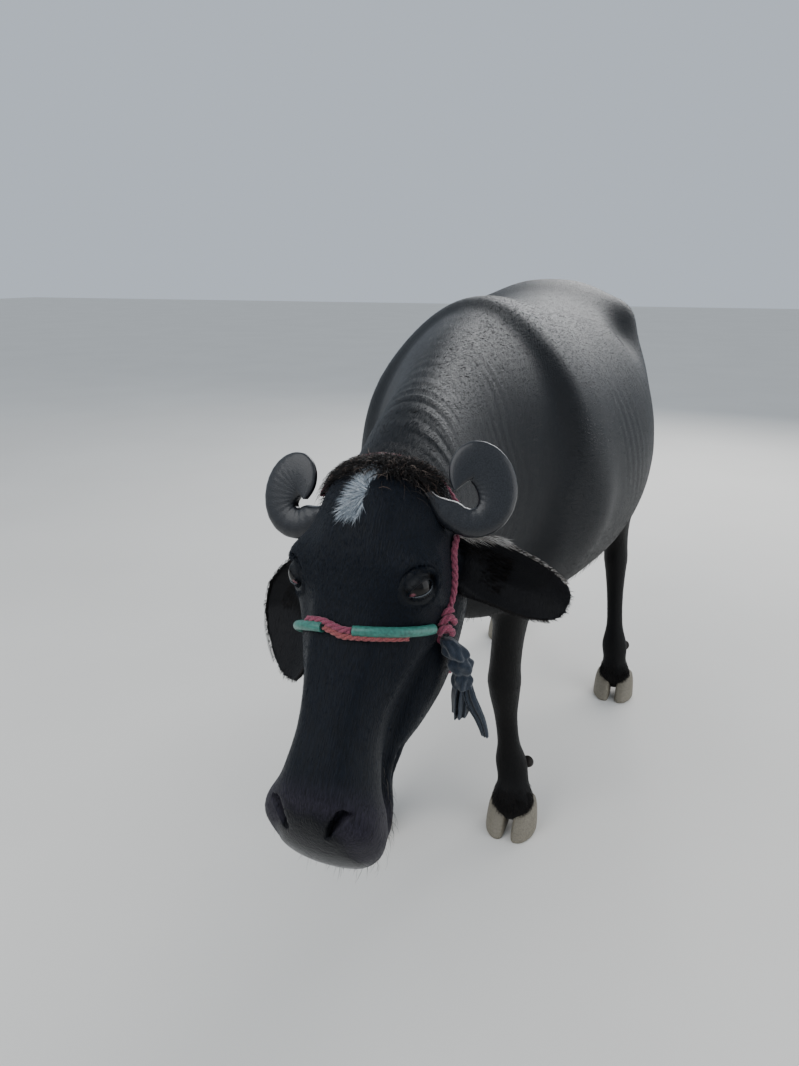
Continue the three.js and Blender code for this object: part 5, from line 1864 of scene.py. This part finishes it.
        count = 3200
        root, normal = surface_samples(lids, count, outer, self.rng)
        way = lie_of_hair(root, normal) + 0.8 * unit(root - head_to_body(centre))
        tone = hide_colour(root) * self.chance(0.5, 1.9, count)[:, None]
        return self.tufts(root, normal, self.scattered(way, 0.15), (4, 7), 0.9, (6, 14), tone)

    def whiskers(self) -> Tufts:
        """Sparse stiff hairs on lips and chin."""

        def near(body: Array) -> Array:
            """The lips and the chin, without the wet nose."""
            local = body_to_head(body)
            lips = ramp(360, 420, -local[:, 1]) * (local[:, 2] < -96) * (wet_plate(local) < 0.2)
            return head_share(body) * lips

        count = 260
        root, normal = self.sample(count, near)
        way = self.scattered(lie_of_hair(root, normal), 0.3)
        tone = self.shades(count, "#0f0e0e", "#1d1a18", "#6d675f")
        return self.tufts(root, normal, way, (16, 34), 0.6, (35, 62), tone, 0.25, 3)

    def pieces(self) -> dict[str, Tufts]:
        """Every piece of hair by its name."""
        made = {zone.name: self.short(zone) for zone in ZONES}
        made |= {"hair_fringe": self.fringe(), "hair_star": self.star(), "hair_switch": self.tail_switch()}
        made |= {kind.name: self.long_hair(kind) for kind in LONG_HAIR}
        made |= {f"hair_ear_{SIDE_NAMES[ear.side]}": self.ear_hair(ear) for ear in EARS}
        made |= {f"lashes_{SIDE_NAMES[side]}": self.lashes(side) for side in (1, -1)}
        made |= {"whiskers": self.whiskers(), "hair_feet": self.foot_hair()}
        return made


# Finishes


def linear(code: str) -> tuple[float, float, float]:
    """A colour written as sRGB hex, in linear light."""
    parts = [int(code[n:n + 2], 16) / 255 for n in (1, 3, 5)]
    return tuple(c / 12.92 if c <= 0.04045 else ((c + 0.055) / 1.055) ** 2.4 for c in parts)


def add_node(tree: bpy.types.NodeTree, kind: str, inputs: dict, **settings: object) -> bpy.types.Node:
    """Adds a node with its settings and links.

    Args:
        tree: The material's nodes.
        kind: Blender's name for the kind of node.
        inputs: A value for an input, or the output that it is linked from, by the input's name or number.
        **settings: The node's own settings.

    Returns:
        The new node.
    """
    node = tree.nodes.new(kind)
    for key, value in settings.items():
        setattr(node, key, value)
    for key, value in inputs.items():
        if isinstance(value, bpy.types.NodeSocket):
            tree.links.new(value, node.inputs[key])
        else:
            node.inputs[key].default_value = value
    return node


def colour(code: str) -> tuple[float, float, float, float]:
    """A colour for a node's input."""
    return (*linear(code), 1.0)


class Pattern(Enum):
    """What a finish's grain is laid along."""

    OBJECT = "object"
    HAIR = "grain"


@dataclass(frozen=True)
class Finish:
    """A surface as the real material shows it: two colours its grain runs between, gloss and relief."""

    name: str
    dark: str
    light: str
    roughness: float
    grain_mm: tuple[float, float, float]
    relief_mm: float
    specular: float = 0.5
    sheen: float = 0.0
    coat: float = 0.0
    tone: bool = False
    follows: Pattern = Pattern.OBJECT

    def material(self) -> bpy.types.Material:
        """The material: noise stretched to the grain's size drives colour and relief."""
        material = bpy.data.materials.new(self.name)
        material.use_nodes = True
        tree = material.node_tree
        shader = tree.nodes["Principled BSDF"]
        grain = self.grain(tree)
        colours = {0: grain, 6: colour(self.dark), 7: colour(self.light)}
        base = add_node(tree, "ShaderNodeMix", colours, data_type="RGBA").outputs[2]
        if self.tone:
            tone = add_node(tree, "ShaderNodeAttribute", {}, attribute_name="tone").outputs["Color"]
            both = {0: 1.0, 6: base, 7: tone}
            base = add_node(tree, "ShaderNodeMix", both, data_type="RGBA", blend_type="MULTIPLY").outputs[2]
        tree.links.new(base, shader.inputs["Base Color"])
        height = {"Height": grain, "Distance": self.relief_mm * MM, "Strength": 1.0}
        relief = add_node(tree, "ShaderNodeBump", height)
        tree.links.new(relief.outputs["Normal"], shader.inputs["Normal"])
        self.gloss(shader)
        return material

    def grain(self, tree: bpy.types.NodeTree) -> bpy.types.NodeSocket:
        """Noise over the finish's pattern, its cells as large as the grain along each axis."""
        if self.follows is Pattern.HAIR:
            name = self.follows.value
            place = add_node(tree, "ShaderNodeAttribute", {}, attribute_name=name).outputs["Vector"]
        else:
            place = add_node(tree, "ShaderNodeTexCoord", {}).outputs["Object"]
        scale = tuple(1 / (size * MM) for size in self.grain_mm)
        sized = add_node(tree, "ShaderNodeMapping", {"Vector": place, "Scale": scale}).outputs["Vector"]
        noise = add_node(tree, "ShaderNodeTexNoise", {"Vector": sized, "Scale": 1.0, "Detail": 4.0})
        contrast = {"Value": noise.outputs["Fac"], "From Min": 0.3, "From Max": 0.7}
        return add_node(tree, "ShaderNodeMapRange", contrast).outputs["Result"]

    def gloss(self, shader: bpy.types.Node) -> None:
        """Sets what is the same all over the surface."""
        shader.inputs["Roughness"].default_value = self.roughness
        shader.inputs["Specular IOR Level"].default_value = self.specular
        shader.inputs["Sheen Weight"].default_value = self.sheen
        shader.inputs["Sheen Roughness"].default_value = 0.5
        shader.inputs["Coat Weight"].default_value = self.coat
        shader.inputs["Coat Roughness"].default_value = 0.05


@dataclass(frozen=True)
class HideFinish(Finish):
    """Haired skin that is smoother, wet and pebbled on the nose."""

    wet_roughness: float = 0.15
    pebble_mm: float = 3.4
    pebble_relief_mm: float = 0.3

    def material(self) -> bpy.types.Material:
        """The haired material, mixed by the "wet" attribute with the nose's own gloss and pebbles."""
        material = super().material()
        tree = material.node_tree
        shader = tree.nodes["Principled BSDF"]
        wet = add_node(tree, "ShaderNodeAttribute", {}, attribute_name="wet").outputs["Fac"]
        rough = add_node(tree, "ShaderNodeMix", {0: wet, 2: self.roughness, 3: self.wet_roughness})
        tree.links.new(rough.outputs[0], shader.inputs["Roughness"])
        place = add_node(tree, "ShaderNodeTexCoord", {}).outputs["Object"]
        cells = add_node(tree, "ShaderNodeTexVoronoi", {"Vector": place, "Scale": 1 / (self.pebble_mm * MM)})
        raised = {0: cells.outputs["Distance"], 1: wet}
        height = add_node(tree, "ShaderNodeMath", raised, operation="MULTIPLY")
        old = shader.inputs["Normal"].links[0].from_socket
        pebbles = add_node(tree, "ShaderNodeBump", {
            "Height": height.outputs[0], "Distance": self.pebble_relief_mm * MM, "Normal": old}, invert=True)
        tree.links.new(pebbles.outputs["Normal"], shader.inputs["Normal"])
        return material


# Short black hair seen as a sheen over near-black skin, whose blue-grey tint is partly a painted reflection
# of the sky
HIDE = HideFinish("short_hair_over_black_skin", "#8a8a8a", "#ffffff", 0.46, (1.6, 16, 1.6), 0.5, 0.12, 0.03,
                  tone=True, follows=Pattern.HAIR)
# Single hairs of the coat, from black to brown and grey by their tone
HAIR = Finish("hair", "#c8c8c8", "#ffffff", 0.45, (3, 3, 3), 0.0, 0.13, 0.0, 0.0, True)
# Bare rims of the lids
LID = Finish("bare_black_lid", "#a8a8a8", "#ffffff", 0.42, (1.2, 1.2, 1.2), 0.3, 0.22, tone=True)
# Polished horn with growth lines
HORN_FINISH = Finish("dark_horn", "#0f1013", "#24262b", 0.3, (1.5, 6, 1.5), 0.15, 0.4, 0.0, 0.15)
# Dry pale hoof
CLAW_FINISH = Finish("pale_hoof_horn", "#5a554a", "#8a8374", 0.55, (1.2, 1.2, 14), 0.2, 0.4)
# Small dark claws behind the fetlocks
DEWCLAW_FINISH = Finish("dark_hoof_horn", "#1b1816", "#302b27", 0.55, (1.2, 1.2, 8), 0.2, 0.3)
# Wet eyeball, coloured by its tone
EYE_FINISH = Finish("wet_eye", "#e0e0e0", "#ffffff", 0.06, (0.5, 0.5, 0.5), 0.0, 0.2, 0.0, 0.1, True)
# Garden hose, clouded by the sun
HOSE_FINISH = Finish("teal_hose", "#23564c", "#387a6d", 0.36, (4, 4, 4), 0.05, 0.5)
# Laid rope of red and violet plastic yarn
RED_FINISH = Finish("red_violet_rope", "#57263a", "#a24a60", 0.8, (0.9, 0.9, 3.5), 0.5, 0.3, 0.2)
# Thinner strand, bleached towards orange
ORANGE_FINISH = Finish("orange_rope", "#66303a", "#ad5a56", 0.8, (0.9, 0.9, 3), 0.5, 0.3, 0.2)
# Faded navy cotton
CLOTH_FINISH = Finish("navy_cotton", "#141a22", "#2d3744", 0.92, (0.7, 0.7, 5), 0.25, 0.2, 0.3)
# Plain pale floor, the same all over
FLOOR_FINISH = Finish("pale_floor", "#dedbd5", "#e3e0da", 0.85, (900, 900, 900), 0.0)


# Stage


@dataclass(frozen=True)
class Stage:
    """Pale floor, soft lights and the camera at the photograph's place."""

    floor_half: float = 30.0
    camera: tuple[float, float, float] = (457.0, -1781.0, 1390.0)
    heading: tuple[float, float] = (-0.342, 0.940)
    pitch: float = 18.4
    lens: float = 27.02

    def build(self) -> None:
        """Adds the floor, the lights, the world and the camera."""
        corners = np.array([(-1, -1, 0), (1, -1, 0), (1, 1, 0), (-1, 1, 0)]) * self.floor_half
        floor = make_object("floor", Shell(corners, np.array([(0, 1, 2, 3)])))
        floor.data.materials.append(FLOOR_FINISH.material())
        self.light("key", (-1.6, -2.8, 3.2), (0.0, -0.2, 0.8), 3.4, 85)
        self.light("fill", (3.4, -0.4, 1.5), (0.1, 0.0, 0.7), 3.6, 60)
        self.light("rim", (0.8, 4.8, 3.8), (0.0, -0.2, 1.1), 3.4, 230)
        world = bpy.data.worlds.new("soft_sky")
        world.use_nodes = True
        sky = world.node_tree.nodes["Background"]
        sky.inputs["Color"].default_value = colour("#d6e1ee")
        sky.inputs["Strength"].default_value = 0.8
        bpy.context.scene.world = world
        lens = bpy.data.cameras.new("photo_camera")
        lens.lens = self.lens
        camera = bpy.data.objects.new("photo_camera", lens)
        bpy.context.scene.collection.objects.link(camera)
        down = math.radians(self.pitch)
        way = Vector((self.heading[0] * math.cos(down), self.heading[1] * math.cos(down), -math.sin(down)))
        camera.location = to_row(np.array(self.camera))
        camera.rotation_euler = way.to_track_quat("-Z", "Y").to_euler()
        bpy.context.scene.camera = camera

    @staticmethod
    def light(name: str, place: Sequence[float], target: Sequence[float], size: float, power: float) -> None:
        """Adds a square area light that faces a target.

        Args:
            name: Name of the light.
            place: Where it is, in metres.
            target: What it faces.
            size: Its edge, in metres.
            power: Its power, in watts.
        """
        lamp = bpy.data.lights.new(name, "AREA")
        lamp.size, lamp.energy = size, power
        light = bpy.data.objects.new(name, lamp)
        light.location = place
        light.rotation_euler = (Vector(target) - Vector(place)).to_track_quat("-Z", "Y").to_euler()
        bpy.context.scene.collection.objects.link(light)


# The whole animal

# How steeply the hair's lines fall towards the rump, in radians
HAIR_SLOPE = 0.3
LEGS = tuple(f"leg_{foot.name}" for foot in FEET)
FLESH = ("torso", "neck", "head", "ear_left", "ear_right", "tail", "udder", *LEGS)


CLAW_KINDS = (("claw", claw_shell, CLAW_FINISH), ("dewclaw", dewclaw_shell, DEWCLAW_FINISH))
# Slot and finish of each halter piece that isn't of the red rope
HALTER_FINISHES = {
    "halter_hose_long": ("hose", HOSE_FINISH),
    "halter_hose_short": ("hose", HOSE_FINISH),
    "halter_nose_strand": ("orange_rope", ORANGE_FINISH),
}
CLOTH_ENDS = {"cloth_end_long": ClothEnd(CLOTH_LONG, 3.0), "cloth_end_short": ClothEnd(CLOTH_SHORT, 2.4)}


@dataclass
class Animal:
    """Everything that belongs to the object, each piece on the one still body."""

    rng: np.random.Generator = field(default_factory=lambda: np.random.default_rng(35))
    materials: dict[str, bpy.types.Material] = field(default_factory=dict)

    def add(self, piece: bpy.types.Object, slot: str, finish: Finish,
            nodes: Sequence[str] = ()) -> bpy.types.Object:
        """Gives a piece its material, its body, its slot and the nodes that it stands for.

        Args:
            piece: The finished piece.
            slot: Not used.
            finish: Its finish, whose material is made once.
            nodes: Names of the CAD nodes that it replaces.

        Returns:
            The piece.
        """
        if finish.name not in self.materials:
            self.materials[finish.name] = finish.material()
        piece.data.materials.clear()
        piece.data.materials.append(self.materials[finish.name])
        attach(piece, "root")
        if nodes:
            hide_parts(*nodes)
        log.info("%s: %d triangles", piece.name, len(piece.data.loops) - 2 * len(piece.data.polygons))
        return piece

    def build(self) -> None:
        """Makes every piece in turn."""
        skin = self.add(Skin().build(), "hide", HIDE, FLESH)
        self.colour_skin(skin.data)
        coat = Coat(skin.data, self.rng)
        for name, tufts in coat.pieces().items():
            self.add(tufts.object(name), "hide", HAIR)
        self.horns_and_claws()
        self.eyes(coat)
        self.halter()
        self.cloth()

    @staticmethod
    def colour_skin(mesh: bpy.types.Mesh) -> None:
        """Writes the skin's colours, its wet share and the coordinates that its hair texture follows."""
        body = to_body(read_points(mesh))
        write_tone(mesh, hide_colour(body))
        local = body_to_head(body)
        wet = mesh.attributes.new("wet", "FLOAT", "POINT")
        wet.data.foreach_set("value", (wet_plate(local) * head_share(body)).astype(np.float32))
        sloped = body @ np.array(Matrix.Rotation(HAIR_SLOPE, 3, "X"))
        grain = lerp(sloped, body[:, [0, 2, 1]], leg_share(body)[:, None])
        grain = lerp(grain, local, head_share(body)[:, None])
        layer = mesh.attributes.new("grain", "FLOAT_VECTOR", "POINT")
        layer.data.foreach_set("vector", (grain * MM).astype(np.float32).ravel())

    def in_head(self, name: str, shell: Shell) -> bpy.types.Object:
        """A piece from a shell in the head's frame."""
        return make_object(name, shell.moved(head_to_body).moved(to_row))

    def horns_and_claws(self) -> None:
        """Both horns and the four feet's claws and dewclaws."""
        for horn in HORNS:
            name = f"horn_{SIDE_NAMES[horn.side]}"
            self.add(self.in_head(f"{name}_form", horn.shell()), "horn", HORN_FINISH, [name])
        for foot in FEET:
            for side, word in ((foot.side, "outer"), (-foot.side, "inner")):
                for kind, make, finish in CLAW_KINDS:
                    name = f"{kind}_{foot.name}_{word}"
                    piece = make_object(f"{name}_form", make(foot, side).moved(to_row))
                    self.add(piece, "claw", finish, [name])

    def eyes(self, coat: Coat) -> None:
        """Eyeballs, and lids that close over the skin round them, with their hair."""
        local = body_to_head(to_body(read_points(coat.skin)))
        for side in (1, -1):
            eye = Eye(side)
            name = f"eye_{SIDE_NAMES[side]}"
            ball = self.in_head(f"{name}_ball", eye.ball())
            points = body_to_head(to_body(read_points(ball.data))) * [side, 1, 1] - EYE_PLACE
            write_tone(ball.data, eye.tone(points))
            self.add(ball, "eye", EYE_FINISH, [name])
            lids = self.in_head(f"lids_{SIDE_NAMES[side]}", eye.lids(local))
            write_tone(lids.data, eye.lid_tone(len(lids.data.vertices)))
            self.add(lids, "hide", LID)
            hair = coat.lid_hair(lids.data, side)
            self.add(hair.object(f"lid_hair_{SIDE_NAMES[side]}"), "hide", HAIR)

    def halter(self) -> None:
        """Ropes, hoses and knots of the halter."""
        for name, shell in Halter().shells().items():
            slot, finish = HALTER_FINISHES.get(name, ("red_rope", RED_FINISH))
            self.add(self.in_head(f"{name}_form", shell), slot, finish, [name])

    def cloth(self) -> None:
        """The knotted strip of cloth and its two hanging ends."""
        knot = make_object("cloth_knot_form", cloth_knot_shell().moved(to_row))
        self.add(knot, "navy_cloth", CLOTH_FINISH, ["cloth_knot"])
        for name, end in CLOTH_ENDS.items():
            piece = make_object(name, end.shell().moved(to_row))
            self.add(piece, "navy_cloth", CLOTH_FINISH, ["cloth_tails"])
            end.flat()


def main() -> None:
    """Builds the stage, then the animal."""
    logging.basicConfig(level=logging.INFO, format="%(name)s %(message)s")
    Stage().build()
    Animal().build()


if __name__ == "__main__":
    main()
